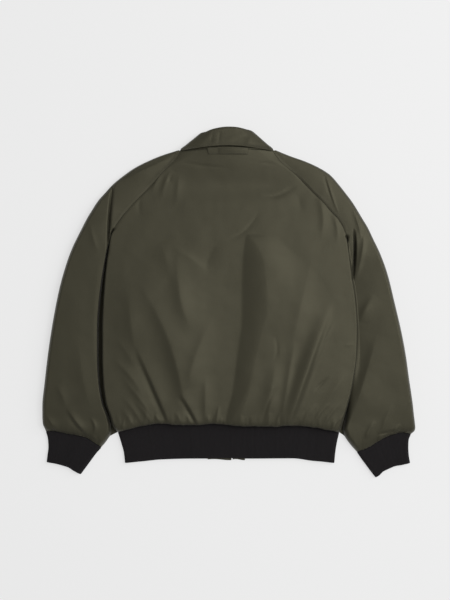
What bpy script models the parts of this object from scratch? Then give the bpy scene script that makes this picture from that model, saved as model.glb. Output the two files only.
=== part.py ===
"""Raglan bomber jacket, laid flat on its front with its back up.

The jacket lies on the plane z = 0.  X runs across it, Y from the hem to the collar, and Z up
through its layers.  Every piece of cloth is a thin wall: the back over the fronts, each sleeve
as a back half over a front half, and knitted bands at the hem and the wrists.
Lengths in the tables are millimetres; the meshes are in metres.
"""
from collections import namedtuple
import math

import bmesh
import bpy
import numpy as np

MM = 0.001

# ---- driving dimensions, in millimetres ----
WALL = 2.4                # quilt-backed shell cloth, and the doubled knit
GAP = 0.3                 # between pieces sewn together
SEAM_GAP = 0.4            # along the curved raglan seams and the neck
BAND_GAP = 0.8            # where a knitted band meets the shell
SIDE_GAP = 1.6            # between the body's side and the sleeve that lies beside it
FOLD_Z = 8.0              # height of the folded edges of the body and the sleeves
END_FOLD_Z = 7.5          # the same where they meet a knitted band
NECK_FOLD_RISE = 4.0      # and how much higher the sleeves' fold lies where it reaches the collar
BAND_FOLD_Z = 6.8         # the same on the hem band and the cuffs
BAND_TOP_Z = 13.4
BODY_DOME = 1.5           # how much higher the middle of a row lies than its sides
SLEEVE_DOME = 1.0
BODY_SIDE_ROUND = 26.0    # how far in the side rounds over, on top
BODY_UNDER_ROUND = 15.0   # and underneath
SLEEVE_SIDE_ROUND = 22.0
SLEEVE_UNDER_ROUND = 14.0
END_ROUND = 11.0          # both are tighter where the cloth comes down to a knitted band
SEAM_ROUND = 13.0         # width of the dip along a raglan seam
SEAM_DIP = 2.2
HEM_Y = -286.0
NECK_Y = 332.0
NECK_RISE = 4.0           # the back neck seam bows up by this much
NECK_CORNER_DROP = 7.5    # the neck thins towards its two corners
NECK_CORNER_RUN = 42.0
NECK_CORNER_ROUND = 42.0
ARMPIT_LEFT_Y = 152.0
ARMPIT_RIGHT_Y = 137.0
ARMPIT_RUN = 42.0         # over which a raglan seam drops to the side fold
FRONT_EDGE_LEFT = 6.0     # centre front edges, either side of the zip
FRONT_EDGE_RIGHT = 10.0
NECK_FRONT_Y = 250.0      # lowest point of the front neck
RIB_PITCH = 8.0           # one rib and one furrow of the knit
RIB_DEPTH = 0.7
BAND_ROUND = 8.0          # how far in the knitted bands round over at their folds
BAND_TURN_STEPS = 6
BAND_UNDER_STEPS = 8      # the bands lie flat underneath, with no ribs there
CUFF_RIBS_WIDTH = 110.0   # the stretch of a cuff's upper side that is ribbed

# ---- the hem band's ends and the zip ----
HEM_END_LEFT = -45.0      # outer ends of the two shell-cloth pieces that finish the hem band
HEM_END_RIGHT = 36.0
HEM_END_THICK = 2.6
HEM_END_Y = -346.5
HEM_END_RIPPLE = 1.2
ZIP_HALF = 14.0
ZIP_Z = 2.95              # the tape lies on the fronts, the chain hangs down between them
ZIP_TAPE = 1.0
CHAIN_HALF = 1.2
CHAIN_SHOULDER = 1.9
CHAIN_DROP = 1.6
CHAIN_RAISE = 0.5
ZIP_FOOT = 6.0            # the zip ends this far above the foot of the hem band's ends

# ---- the collar ----
COLLAR_FRONT_STAND = 46.0
NECKLINE_CONTROL = 71.0   # how wide the front neckline is at its bottom
NECKLINE_CONTROL_ROLL = 45.0
NECK_CLEAR = 1.2          # the fronts stop this far from the neck seam
COLLAR_SINK = 2.5         # the stand lies this much lower than the back's cloth, under the fall
NECK_WIDTH = 202.0
COLLAR_FRONT_Z = 3.3      # height of the stand at the front, over the fall
FALL_GAP = 0.9            # between the stand and the fall
FALL_LIFT = 2.2           # how far the free edge of the fall stands off at the back
FALL_EDGE = 0.02          # where the fall ends, as a share of the stand's height
FALL_EDGE_BACK = 0.15     # and how much higher it ends at the middle of the back
FALL_EDGE_FRONT = 0.18
ROLL_EXTRA = 0.055        # the roll reaches past the stand by this share of its height
ROLL_BOW = 7.5
COLLAR_TURN = (-90, -50, -15, 15, 50, 90)      # angles round each folded side, in degrees
COLLAR_BACK = (0.1, 0.22, 0.36, 0.5, 0.64, 0.78, 0.9)
FALL_STEPS = (0.0, 0.35, 0.7, 0.93)
STAND_STEPS = (0.93, 0.6, 0.25, 0.1, 0.0)
TOWARDS_BACK = (1.0, 0.25)     # the collar's run at the folded sides, before and after the fold
TOWARDS_FRONT = (0.3, -0.95)

# ---- the hanger loop ----
LOOP_LEFT = -47.0
LOOP_RIGHT = 43.0
LOOP_LOW_Y = 324.0
LOOP_HIGH_Y = 340.0
LOOP_THICK = 1.6
LOOP_LIFT = 0.4           # off the cloth at its sewn ends, and more between them
LOOP_BULGE = 0.8
LOOP_SLANT = 0.25         # the left end runs down at a slant

# ---- tables ----
# Body outline: side fold up to the armpit, then the raglan seam.
Section = namedtuple("Section", "y left right")
BODY = [
    Section(-286, -244.0, 244.5),
    Section(-272, -255.0, 249.5),
    Section(-246, -262.5, 257.5),
    Section(-219, -271.0, 265.0),
    Section(-170, -276.5, 276.0),
    Section(-120, -278.0, 283.0),
    Section(-60, -278.0, 285.0),
    Section(0, -276.0, 281.5),
    Section(60, -271.5, 273.0),
    Section(110, -265.5, 266.5),
    Section(137, -261.5, 262.5),
    Section(152, -257.5, 256.5),
    Section(167, -247.5, 250.5),
    Section(183, -236.0, 240.5),
    Section(200, -223.0, 224.0),
    Section(220, -205.0, 207.0),
    Section(240, -185.0, 186.0),
    Section(258, -167.5, 168.5),
    Section(278, -151.0, 149.0),
    Section(296, -134.0, 128.0),
    Section(312, -118.0, 111.0),
    Section(332, -104.0, 97.0),
]

# Height of the back's outer face over the rise from the hem seam.
Crown = namedtuple("Crown", "rise z")
BODY_CROWN = [
    Crown(0, 15.6), Crown(7, 20.5), Crown(18, 26.5), Crown(40, 31.5), Crown(100, 34.0),
    Crown(260, 34.0), Crown(400, 32.5), Crown(500, 31.0), Crown(580, 29.8), Crown(622, 29.0),
]

# Sleeves: a row from the inner edge to the outer fold.  Inner edges above the armpit follow
# the raglan seam, so their x stands empty.
Row = namedtuple("Row", "inner_y inner_x outer_x outer_y crown")
SLEEVE_LEFT = [
    Row(332, None, -111, 334.5, 20.5),
    Row(319, None, -144, 324.5, 25.0),
    Row(304, None, -174, 312.5, 28.5),
    Row(287, None, -206, 296.5, 30.5),
    Row(266, None, -232, 278.5, 31.0),
    Row(244, None, -254, 260.5, 31.0),
    Row(226, None, -271, 242.0, 31.0),
    Row(208, None, -287, 224.0, 31.0),
    Row(192, None, -300, 204.0, 31.0),
    Row(174, None, -311, 186.0, 31.5),
    Row(152, -258.5, -327, 155.0, 32.0),
    Row(120, -265, -344, 120.0, 32.0),
    Row(85, -270, -357, 85.0, 32.0),
    Row(30, -275, -372, 32.0, 32.0),
    Row(-40, -279, -386, -38.0, 31.5),
    Row(-110, -279, -397, -109.0, 31.0),
    Row(-180, -276, -405, -177.0, 30.0),
    Row(-235, -267, -410, -228.0, 28.5),
    Row(-262, -260, -410, -250.0, 26.5),
    Row(-284, -258, -409, -267.0, 23.5),
    Row(-304, -268, -405, -277.0, 18.5),
    Row(-320, -281, -402, -284.0, 14.6),
]
SLEEVE_RIGHT = [
    Row(332, None, 105, 334.5, 20.5),
    Row(319, None, 139, 321.0, 25.0),
    Row(304, None, 168, 311.0, 28.5),
    Row(287, None, 200, 296.5, 30.5),
    Row(268, None, 224, 281.0, 31.0),
    Row(250, None, 243, 260.0, 31.0),
    Row(232, None, 258, 241.0, 31.0),
    Row(215, None, 273, 221.0, 31.0),
    Row(198, None, 285, 202.0, 31.0),
    Row(180, None, 295, 185.0, 31.5),
    Row(160, None, 306, 167.0, 32.0),
    Row(137, 264, 319, 140.0, 32.0),
    Row(105, 269, 335, 106.0, 32.0),
    Row(60, 275, 351, 61.0, 32.0),
    Row(0, 283, 366, 0.0, 32.0),
    Row(-70, 287, 382, -69.0, 31.5),
    Row(-120, 285, 391, -118.0, 31.0),
    Row(-170, 278, 398, -168.0, 30.0),
    Row(-225, 265, 406, -222.0, 28.5),
    Row(-255, 258, 409, -249.0, 26.5),
    Row(-277, 252, 411, -265.0, 24.0),
    Row(-295, 257, 412, -276.0, 21.0),
    Row(-313, 269, 410, -283.0, 17.5),
    Row(-330, 284, 402, -290.0, 14.6),
]

# The overarm seam of the left sleeve comes round the fold and shows on top; inset from the fold.
Inset = namedtuple("Inset", "inner_y inset")
OVERARM_LEFT = [Inset(332, 1.6), Inset(304, 8.0), Inset(275, 9.5), Inset(244, 5.0), Inset(215, 1.6),
                Inset(-320, 1.6)]

OVERARM_GAP = 0.016       # half the gap there, in steps of the quarter turn over the fold

# A seam or an edge that bows away from the straight line between its two ends.
Bow = namedtuple("Bow", "along rise")
HEM_BOW = [Bow(0, 0), Bow(.05, 6.5), Bow(.12, 14.5), Bow(.2, 19.5), Bow(.27, 16.5), Bow(.35, 16),
           Bow(.43, 19), Bow(.55, 14), Bow(.64, 13.5), Bow(.7, 12.5), Bow(.77, 15), Bow(.85, 13),
           Bow(.91, 8.5), Bow(1, 0)]
BAND_EDGE_BOW = [Bow(0, 0), Bow(.07, 3.5), Bow(.17, 9), Bow(.33, 11), Bow(.6, 11), Bow(.8, 11.5),
                 Bow(.9, 5.5), Bow(1, 0)]
CUFF_SEAM_LEFT = [Bow(0, 0), Bow(.14, 7), Bow(.3, 12.5), Bow(.45, 11.5), Bow(.6, 9), Bow(.8, 7),
                  Bow(.92, 3.5), Bow(1, 0)]
CUFF_SEAM_RIGHT = [Bow(0, 0), Bow(.16, 1), Bow(.28, 4), Bow(.39, 8.5), Bow(.52, 12), Bow(.64, 13),
                   Bow(.75, 12), Bow(.86, 9), Bow(1, 0)]
CUFF_EDGE_LEFT = [Bow(0, 0), Bow(.2, 2.5), Bow(.37, 6), Bow(.59, 5), Bow(.76, 3.5), Bow(1, 0)]
CUFF_EDGE_RIGHT = [Bow(0, 0), Bow(.1, 2), Bow(.23, 7), Bow(.5, 7.8), Bow(.77, 3.5), Bow(1, 0)]

# Knitted bands, from the seam (along 0) to the free edge (along 1).
Band = namedtuple("Band", "along inner_x inner_y outer_x outer_y")
HEM_BAND = [Band(0, -243.5, -286.0, 244.5, -286.0), Band(.33, -236.5, -308.5, 239.5, -308.5),
            Band(.66, -230.5, -331.5, 236.0, -331.5), Band(1, -228.0, -354.0, 234.0, -354.0)]
CUFF_LEFT = [Band(0, -281, -320, -402, -284), Band(.25, -293, -334, -398, -302),
             Band(.5, -304, -349, -397, -319), Band(.75, -315, -364, -399, -336),
             Band(1, -326, -379, -401, -352)]
CUFF_RIGHT = [Band(0, 284, -330, 402, -290), Band(.25, 294, -345, 397.5, -305),
              Band(.5, 304, -358.5, 397, -320), Band(.75, 314, -372, 398, -337),
              Band(1, 325, -386, 401, -354)]

# Ends of the collar's folded sides: at the neck seam and at the roll.
Corner = namedtuple("Corner", "x y")
NECK_CORNERS = {"left": Corner(-104.0, 332.5), "right": Corner(97.0, 332.5)}
ROLL_CORNERS = {"left": Corner(-60.0, 370.5), "right": Corner(50.0, 375.5)}

# Folds and gathers of the upper side: a curve through three points, the half width, the depth
# (below zero for a furrow, above for a ridge), and where along the curve it is deepest.
Fold = namedtuple("Fold", "x0 y0 xm ym x1 y1 width depth peak")
FOLDS = [
    # gathers rising from the hem seam, from left to right
    Fold(-210, -272, -216, -262, -226, -247, 7, -3.0, 0.0),
    Fold(-187, -266, -192, -255, -202, -240, 7, -2.5, 0.0),
    Fold(-145, -260, -160, -246, -172, -222, 8, -3.0, 0.1),
    Fold(-128, -265, -175, -173, -232, -87, 9, -5.5, 0.25),
    Fold(-69, -266, -87, -239, -107, -216, 8, -5.0, 0.2),
    Fold(-106, -217, -120, -165, -168, -34, 15, -4.5, 0.3),
    Fold(-168, -34, -196, 20, -214, 58, 17, -2.5, 0.2),
    Fold(-55, -258, -56, -206, -54, -160, 8, -2.5, 0.1),
    Fold(-36, -265, -40, -256, -45, -248, 7, -2.0, 0.0),
    Fold(-26, -264, -25, -243, -21, -220, 7, -2.5, 0.0),
    Fold(-7, -260, 10, -206, 26, -127, 12, -4.5, 0.3),
    Fold(-8, -252, 0, -226, 8, -198, 8, 2.0, 0.3),
    Fold(24, -140, 52, -10, 45, 142, 26, -5.0, 0.35),
    Fold(67, -264, 76, -232, 100, -194, 9, -4.0, 0.2),
    Fold(89, -262, 89, -241, 94, -219, 8, -2.5, 0.1),
    Fold(114, -262, 150, -183, 188, -85, 11, -5.5, 0.35),
    Fold(184, -110, 200, -60, 213, -15, 13, -4.0, 0.3),
    Fold(133, -250, 166, -162, 193, -87, 9, 2.5, 0.4),
    Fold(177, -264, 190, -248, 204, -236, 7, -2.5, 0.1),
    Fold(215, -265, 226, -256, 238, -249, 7, -2.5, 0.1),
    Fold(217, -266, 236, -239, 256, -208, 8, -2.5, 0.1),
    Fold(186, -192, 202, -175, 219, -164, 7, -2.0, 0.4),
    # troughs of the back
    Fold(-148, 98, -111, 14, -84, -61, 20, -2.5, 0.5),
    Fold(-84, -116, -89, -142, -94, -170, 11, -1.5, 0.5),
    Fold(105, -78, 105, -109, 99, -133, 8, -2.0, 0.5),
    Fold(83, -138, 76, -193, 68, -240, 12, -2.5, 0.6),
    Fold(-120, 266, 10, 262, 143, 266, 24, -3.0, 0.5),
    Fold(78, 234, 122, 245, 157, 266, 8, -2.5, 0.7),
    Fold(67, 197, 48, 160, 6, 148, 10, -1.5, 0.4),
    # wrinkles beside the left raglan seam
    Fold(-161, 268, -166, 254, -168, 238, 8, -2.0, 0.5),
    Fold(-130, 276, -131, 264, -134, 250, 8, -1.5, 0.5),
    # the crease from the left shoulder down to the armpit
    Fold(-250, 258, -260, 222, -259, 158, 9, -8.5, 0.6),
    Fold(-232, 215, -240, 190, -246, 165, 9, -2.5, 0.5),
    # folds of the right sleeve, from the shoulder down to the armpit
    Fold(216, 278, 232, 243, 240, 200, 9, -4.5, 0.5),
    Fold(228, 268, 245, 228, 262, 160, 9, -5.5, 0.7),
    Fold(268, 219, 285, 177, 292, 116, 10, 3.0, 0.5),
    # sleeve gathers above the left cuff
    Fold(-381, -276, -388, -264, -397, -249, 7, -3.0, 0.1),
    Fold(-332, -276, -343, -254, -354, -231, 8, -3.5, 0.2),
    Fold(-309, -292, -322, -277, -335, -263, 8, -4.0, 0.2),
    Fold(-301, -293, -299, -270, -307, -252, 8, -3.5, 0.2),
    Fold(-364, -241, -373, -219, -384, -197, 9, -2.0, 0.5),
    # sleeve gathers above the right cuff
    Fold(263, -256, 276, -232, 288, -190, 12, -3.5, 0.4),
    Fold(292, -306, 303, -280, 318, -258, 9, -4.0, 0.2),
    Fold(325, -293, 342, -289, 358, -291, 7, -2.0, 0.5),
    Fold(362, -282, 369, -275, 378, -266, 7, -2.0, 0.1),
    # long soft slopes down the sleeves
    Fold(-366, 0, -344, -105, -290, -212, 24, -2.5, 0.5),
    Fold(-348, 105, -318, 6, -293, -61, 22, -2.0, 0.5),
    Fold(272, -105, 288, -190, 264, -262, 16, -2.0, 0.5),
]

# Rows of the grids.
HEM_ROWS = [-286, -281, -274, -264, -250, -231, -206, -176, -140, -100, -60, -20, 20, 58, 92,
            118, 137]
RAGLAN_ROWS = [152, 166, 181, 197, 213, 231, 250, 261, 277, 293, 307, 320, 332]
FRONT_ROWS = [-286, -274, -255, -200, -100, 0, 80, 118, 137]
SLEEVE_ROWS = [-274, -264, -240, -206, -160, -100, -40, 20, 80, 118, 137]
SLEEVE_UNDER_ROWS = [-264, -206, -100, 0, 80, 118, 137]
WRIST_RISES = [0, 4, 11, 22, 36]

SHELL_COLOUR = (0.058, 0.055, 0.040, 1.0)
RIB_COLOUR = (0.012, 0.011, 0.011, 1.0)
ZIP_COLOUR = (0.030, 0.030, 0.026, 1.0)


# ---- curves ----
def ease(value):
    """Smooth step from 0 to 1."""
    value = np.clip(value, 0.0, 1.0)
    return value * value * (3.0 - 2.0 * value)


def smooth(xs, ys, at):
    """Read a table with a smooth curve through its rows and no overshoot between them."""
    xs = np.asarray(xs, float)
    ys = np.asarray(ys, float)
    if xs[0] > xs[-1]:
        xs = xs[::-1]
        ys = ys[::-1]
    at = np.clip(np.asarray(at, float), xs[0], xs[-1])
    step = np.diff(xs)
    slope = np.diff(ys) / step
    tangent = np.zeros(len(xs))
    tangent[0] = slope[0]
    tangent[-1] = slope[-1]
    same = slope[:-1] * slope[1:] > 0
    mean = 2.0 * slope[:-1] * slope[1:] / np.where(same, slope[:-1] + slope[1:], 1.0)
    tangent[1:-1] = np.where(same, mean, 0.0)
    i = np.clip(np.searchsorted(xs, at) - 1, 0, len(step) - 1)
    t = (at - xs[i]) / step[i]
    start = (1 + 2 * t) * (1 - t) ** 2 * ys[i] + t * (1 - t) ** 2 * step[i] * tangent[i]
    end = t * t * (3 - 2 * t) * ys[i + 1] + t * t * (t - 1) * step[i] * tangent[i + 1]
    return start + end


def column(table, name):
    return [getattr(row, name) for row in table]


def bow(table, along):
    return smooth(column(table, "along"), column(table, "rise"), along)


def body_edge(side, y):
    return smooth(column(BODY, "y"), column(BODY, side), y)


def arc_through(start, middle, end, t):
    """A smooth arc through three points (a quadratic curve), read at t."""
    start, middle, end = (np.asarray(p, float) for p in (start, middle, end))
    control = 2.0 * middle - 0.5 * (start + end)
    t = np.asarray(t, float)[..., None]
    return (1 - t) ** 2 * start + 2 * t * (1 - t) * control + t * t * end


def fold_height(x, y):
    """Sum of all folds at the points x, y."""
    total = np.zeros(np.shape(x))
    steps = np.linspace(0.0, 1.0, 10)
    for fold in FOLDS:
        line = arc_through((fold.x0, fold.y0), (fold.xm, fold.ym), (fold.x1, fold.y1), steps)
        nearest = np.full(np.shape(x), 1e9)
        along = np.zeros(np.shape(x))
        for k in range(len(steps) - 1):
            run = line[k + 1] - line[k]
            part = ((x - line[k, 0]) * run[0] + (y - line[k, 1]) * run[1]) / (run @ run)
            part = np.clip(part, 0.0, 1.0)
            far = np.hypot(x - line[k, 0] - part * run[0], y - line[k, 1] - part * run[1])
            along = np.where(far < nearest, (k + part) / (len(steps) - 1), along)
            nearest = np.minimum(nearest, far)
        before = ease(along / max(fold.peak, 1e-6)) if fold.peak > 0 else 1.0
        after = ease((1.0 - along) / (1.0 - fold.peak))
        total += fold.depth * np.minimum(before, after) * np.exp(-(nearest / fold.width) ** 2)
    return total


# ---- surfaces of a flattened tube ----
class Tube:
    """Rows of a flattened tube of cloth, each from an edge A to an edge B.

    a, b: the two edge points of each row; edge: the heights of its edges; seam: 1 where
    the edge is a seam that the next panel continues, 0 where the cloth folds round;
    round: how far in from each edge the surface levels off; crown: the height between.
    """

    def __init__(self, a, b, edge_a, edge_b, seam_a, seam_b, round_a, round_b, crown):
        self.a = np.asarray(a, float)
        self.b = np.asarray(b, float)
        self.edge = (edge_a, edge_b)
        self.seam = (seam_a, seam_b)
        self.round = (round_a, round_b)
        self.crown = crown

    def points(self, stations, bow_y, dome):
        """Grid of points.  Stations run from -1 to 0 over edge A, 0 to 1 between, 1 to 2 over B.

        They are one list for all rows, or a list for each row.
        """
        run = self.b - self.a
        width = np.hypot(run[:, 0], run[:, 1])[:, None]
        q = np.atleast_2d(np.asarray(stations, float))
        round_a = np.minimum(self.round[0][:, None], 0.3 * width)
        round_b = np.minimum(self.round[1][:, None], 0.46 * width)
        turn_a = np.clip(q + 1.0, 0.0, 1.0)
        turn_b = np.clip(2.0 - q, 0.0, 1.0)
        reach = []
        for turn, seam in ((turn_a, self.seam[0]), (turn_b, self.seam[1])):
            seam = seam[:, None]
            fold_part = 1.0 - np.cos(turn * math.pi / 2)
            reach.append((1.0 - seam) * fold_part + seam * turn)
        across = round_a * reach[0] + (width - round_a - round_b) * np.clip(q, 0.0, 1.0)
        across = np.where(q > 1.0, width - round_b * reach[1], across)
        share = across / width
        x = self.a[:, 0:1] + run[:, 0:1] * share
        y = self.a[:, 1:2] + run[:, 1:2] * share
        y = y + bow_y(share)
        lift_a = np.sin(turn_a * math.pi / 2)
        lift_b = np.sin(turn_b * math.pi / 2)
        edge = np.where(q < 0.5, self.edge[0][:, None], self.edge[1][:, None])
        lift = lift_a * lift_b
        dome = dome * np.minimum(width / 80.0, 1.0)
        crown = self.crown[:, None] + dome * np.sin(math.pi * np.clip(q, 0.0, 1.0))
        z = edge + (crown - edge) * lift
        seam_share = np.where(q < 0.5, self.seam[0][:, None], self.seam[1][:, None])
        weight = seam_share + (1.0 - seam_share) * lift ** 2
        return x, y, z, weight


def grid_normals(points, ring):
    """Unit normals of a grid, pointing up or out; rows run along axis 0."""
    along = np.gradient(points, axis=0)
    if ring:
        wrapped = np.concatenate([points[:, -1:], points, points[:, :1]], axis=1)
        across = (wrapped[:, 2:] - wrapped[:, :-2]) / 2.0
    else:
        across = np.gradient(points, axis=1)
    normal = np.cross(across, along)
    return normal / np.linalg.norm(normal, axis=2, keepdims=True)


def square_end(normals, index, axis):
    """Take the part along the axis out of an end row's normals, so that its rim is square."""
    axis = np.array([axis[0], axis[1], 0.0]) / math.hypot(axis[0], axis[1])
    row = normals[index]
    row -= (row @ axis)[:, None] * axis
    row /= np.linalg.norm(row, axis=1, keepdims=True)


# ---- meshes ----
def material(name, colour, roughness):
    found = bpy.data.materials.get(name)
    if found:
        return found
    made = bpy.data.materials.new(name)
    made.use_nodes = True
    shader = made.node_tree.nodes["Principled BSDF"]
    shader.inputs["Base Color"].default_value = colour
    shader.inputs["Roughness"].default_value = roughness
    return made


def wall(name, outer, inner, ring, look):
    """One closed wall from two matching grids: an outer face, an inner face and the rims."""
    rows, cols = outer.shape[:2]
    mesh = bmesh.new()
    outer_verts = [[mesh.verts.new(p * MM) for p in line] for line in outer]
    inner_verts = [[mesh.verts.new(p * MM) for p in line] for line in inner]
    last = cols if ring else cols - 1
    for i in range(rows - 1):
        for j in range(last):
            k = (j + 1) % cols
            mesh.faces.new((outer_verts[i][j], outer_verts[i][k], outer_verts[i + 1][k],
                            outer_verts[i + 1][j]))
            mesh.faces.new((inner_verts[i][j], inner_verts[i + 1][j], inner_verts[i + 1][k],
                            inner_verts[i][k]))
    for i in (0, rows - 1):
        for j in range(last):
            k = (j + 1) % cols
            mesh.faces.new((outer_verts[i][j], outer_verts[i][k], inner_verts[i][k],
                            inner_verts[i][j]))
    if not ring:
        for j in (0, cols - 1):
            for i in range(rows - 1):
                mesh.faces.new((outer_verts[i][j], outer_verts[i + 1][j], inner_verts[i + 1][j],
                                inner_verts[i][j]))
    bmesh.ops.recalc_face_normals(mesh, faces=mesh.faces[:])
    bmesh.ops.triangulate(mesh, faces=mesh.faces[:])
    data = bpy.data.meshes.new(name)
    mesh.to_mesh(data)
    mesh.free()
    data.shade_smooth()
    data.set_sharp_from_angle(angle=math.radians(45))
    data.materials.append(material(*look))
    item = bpy.data.objects.new(name, data)
    JACKET.objects.link(item)
    return item


SHELL = ("olive_shell", SHELL_COLOUR, 0.55)
RIB = ("black_rib", RIB_COLOUR, 0.9)
ZIP = ("zip", ZIP_COLOUR, 0.6)


def stations(over_a, flat, over_b):
    """Station list: steps over edge A, between the edges, and over edge B."""
    first = list(np.linspace(-1.0, 0.0, over_a + 1))
    middle = list(np.linspace(0.0, 1.0, flat + 1))[1:]
    last = list(np.linspace(1.0, 2.0, over_b + 1))[1:]
    return first + middle + last


# ---- body ----
def seam_share(y, armpit):
    """1 along the raglan seam, falling to 0 at the armpit where the side fold starts."""
    return ease((np.asarray(y, float) - armpit) / ARMPIT_RUN)


def crown_z(y):
    return smooth(column(BODY_CROWN, "rise"), column(BODY_CROWN, "z"), np.asarray(y) - HEM_Y)


def fold_z(y):
    """Height of the body's side fold: it comes down to the hem band at the bottom."""
    return END_FOLD_Z + (FOLD_Z - END_FOLD_Z) * ease((y - HEM_Y) / 40.0)


def neck_share(y):
    """Rises from 0 to 1 over the last stretch below the neck."""
    return ease((np.asarray(y, float) - NECK_Y + NECK_CORNER_RUN) / NECK_CORNER_RUN)


def seam_z(y, armpit):
    """Height of the raglan seam on the upper side."""
    share = seam_share(y, armpit)
    dip = SEAM_DIP + NECK_CORNER_DROP * neck_share(y)
    return fold_z(y) + (crown_z(y) - dip - fold_z(y)) * share


def body_tube(rows):
    y = np.asarray(rows, float)
    left = np.stack([body_edge("left", y), y], axis=1)
    right = np.stack([body_edge("right", y), y], axis=1)
    share_l = seam_share(y, ARMPIT_LEFT_Y)
    share_r = seam_share(y, ARMPIT_RIGHT_Y)
    side_round = END_ROUND + (BODY_SIDE_ROUND - END_ROUND) * ease((y - HEM_Y) / 60.0)
    seam_round = SEAM_ROUND + (NECK_CORNER_ROUND - SEAM_ROUND) * neck_share(y)
    round_l = side_round + (seam_round - side_round) * share_l
    round_r = side_round + (seam_round - side_round) * share_r
    return Tube(left, right, seam_z(y, ARMPIT_LEFT_Y), seam_z(y, ARMPIT_RIGHT_Y),
                share_l, share_r, round_l, round_r, crown_z(y))


def hem_and_neck_bow(rows):
    """How far each row bows: like the hem seam at the bottom and the neck seam at the top."""
    y = np.asarray(rows, float)[:, None]
    hem = np.exp(-(y - HEM_Y) / 70.0)
    neck = ease((y - 250.0) / (NECK_Y - 250.0))

    def bow_y(share):
        return hem * bow(HEM_BOW, share) + neck * NECK_RISE * 4.0 * share * (1.0 - share)
    return bow_y


def make_back():
    rows = HEM_ROWS + RAGLAN_ROWS
    x, y, z, weight = body_tube(rows).points(stations(4, 36, 4), hem_and_neck_bow(rows), BODY_DOME)
    z = z + weight * fold_height(x, y)
    split = ease((np.asarray(rows, float) - ARMPIT_LEFT_Y) / ARMPIT_RUN)
    z[:, 0] += GAP / 2 * (1.0 - split)
    z[:, -1] += GAP / 2 * (1.0 - split)
    outer = np.stack([x, y, z], axis=2)
    normals = grid_normals(outer, False)
    folded_l = np.asarray(rows) <= ARMPIT_LEFT_Y
    folded_r = np.asarray(rows) <= ARMPIT_RIGHT_Y
    level_edges(normals, folded_l, folded_r)
    square_end(normals, 0, (0, 1))
    square_end(normals, -1, (0, 1))
    return wall("back_panel", outer, outer - WALL * normals, False, SHELL)


def level_edges(normals, folded_a, folded_b):
    for index, folded in ((0, folded_a), (-1, folded_b)):
        edge = normals[:, index]
        edge[folded, 2] = 0.0
        edge /= np.linalg.norm(edge, axis=1, keepdims=True)


def neckline_step(y):
    """Step along the front neck seam at which it reaches the height y."""
    corner_y = collar_corner("left", 0.0)[1]
    return 1.0 - np.sqrt(np.clip((y - NECK_FRONT_Y) / (corner_y - NECK_FRONT_Y), 0.0, 1.0))


def front_neckline(side, t):
    """Front neck seam from the shoulder corner (t = 0) to the centre front (t = 1)."""
    corner = collar_corner(side, 0.0)
    sign = -1.0 if side == "left" else 1.0
    end = (FRONT_EDGE_LEFT if side == "left" else FRONT_EDGE_RIGHT, NECK_FRONT_Y)
    control = (sign * NECKLINE_CONTROL, NECK_FRONT_Y)
    t = np.asarray(t, float)[..., None]
    return (1 - t) ** 2 * corner + 2 * t * (1 - t) * np.array(control) + t * t * np.array(end)


def make_front(side):
    """One front, lying face down: flat underneath, rounded up to the side fold."""
    sign = -1.0 if side == "left" else 1.0
    armpit = ARMPIT_LEFT_Y if side == "left" else ARMPIT_RIGHT_Y
    rows = np.array(FRONT_ROWS + RAGLAN_ROWS[:-1], float)
    centre_x = FRONT_EDGE_LEFT if side == "left" else FRONT_EDGE_RIGHT
    neck = front_neckline(side, neckline_step(rows))
    centre = np.where(rows >= NECK_FRONT_Y, neck[:, 0] + sign * NECK_CLEAR, centre_x)
    edge_x = body_edge(side, rows)
    share = seam_share(rows, armpit)
    edge_height = (fold_z(rows) - GAP / 2) * (1.0 - share)
    rounding = BODY_UNDER_ROUND + (SEAM_ROUND - BODY_UNDER_ROUND) * share
    tube = Tube(np.stack([edge_x, rows], axis=1), np.stack([centre, rows], axis=1),
                edge_height, np.zeros(len(rows)), share, np.ones(len(rows)),
                rounding, np.full(len(rows), 6.0), np.zeros(len(rows)))
    x, y, z, _ = tube.points(stations(3, 5, 1), straight, 0.0)
    outer = np.stack([x, y, z], axis=2)
    normals = grid_normals(outer, False)
    if side == "left":
        normals = -normals
    folded = rows <= armpit
    level_edges(normals, folded, np.zeros(len(rows), bool))
    square_end(normals, 0, (0, 1))
    return wall("front_" + side, outer, outer - WALL * normals, False, SHELL)


# ---- sleeves ----
def sleeve_table(side):
    return SLEEVE_LEFT if side == "left" else SLEEVE_RIGHT


def sleeve_inner_x(side, y):
    """Inner edge: the raglan seam above the armpit, beside the body's fold below it."""
    sign = -1.0 if side == "left" else 1.0
    armpit = ARMPIT_LEFT_Y if side == "left" else ARMPIT_RIGHT_Y
    low = [row for row in sleeve_table(side) if row.inner_x is not None]
    free = smooth(column(low, "inner_y"), column(low, "inner_x"), y)
    beside = body_edge(side, y) + sign * (SEAM_GAP + (SIDE_GAP - SEAM_GAP) * ease((armpit - y) / 30.0))
    inside = sign * np.maximum(sign * free, sign * beside)
    return np.where(y >= armpit, body_edge(side, y) + sign * SEAM_GAP, inside)


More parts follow.
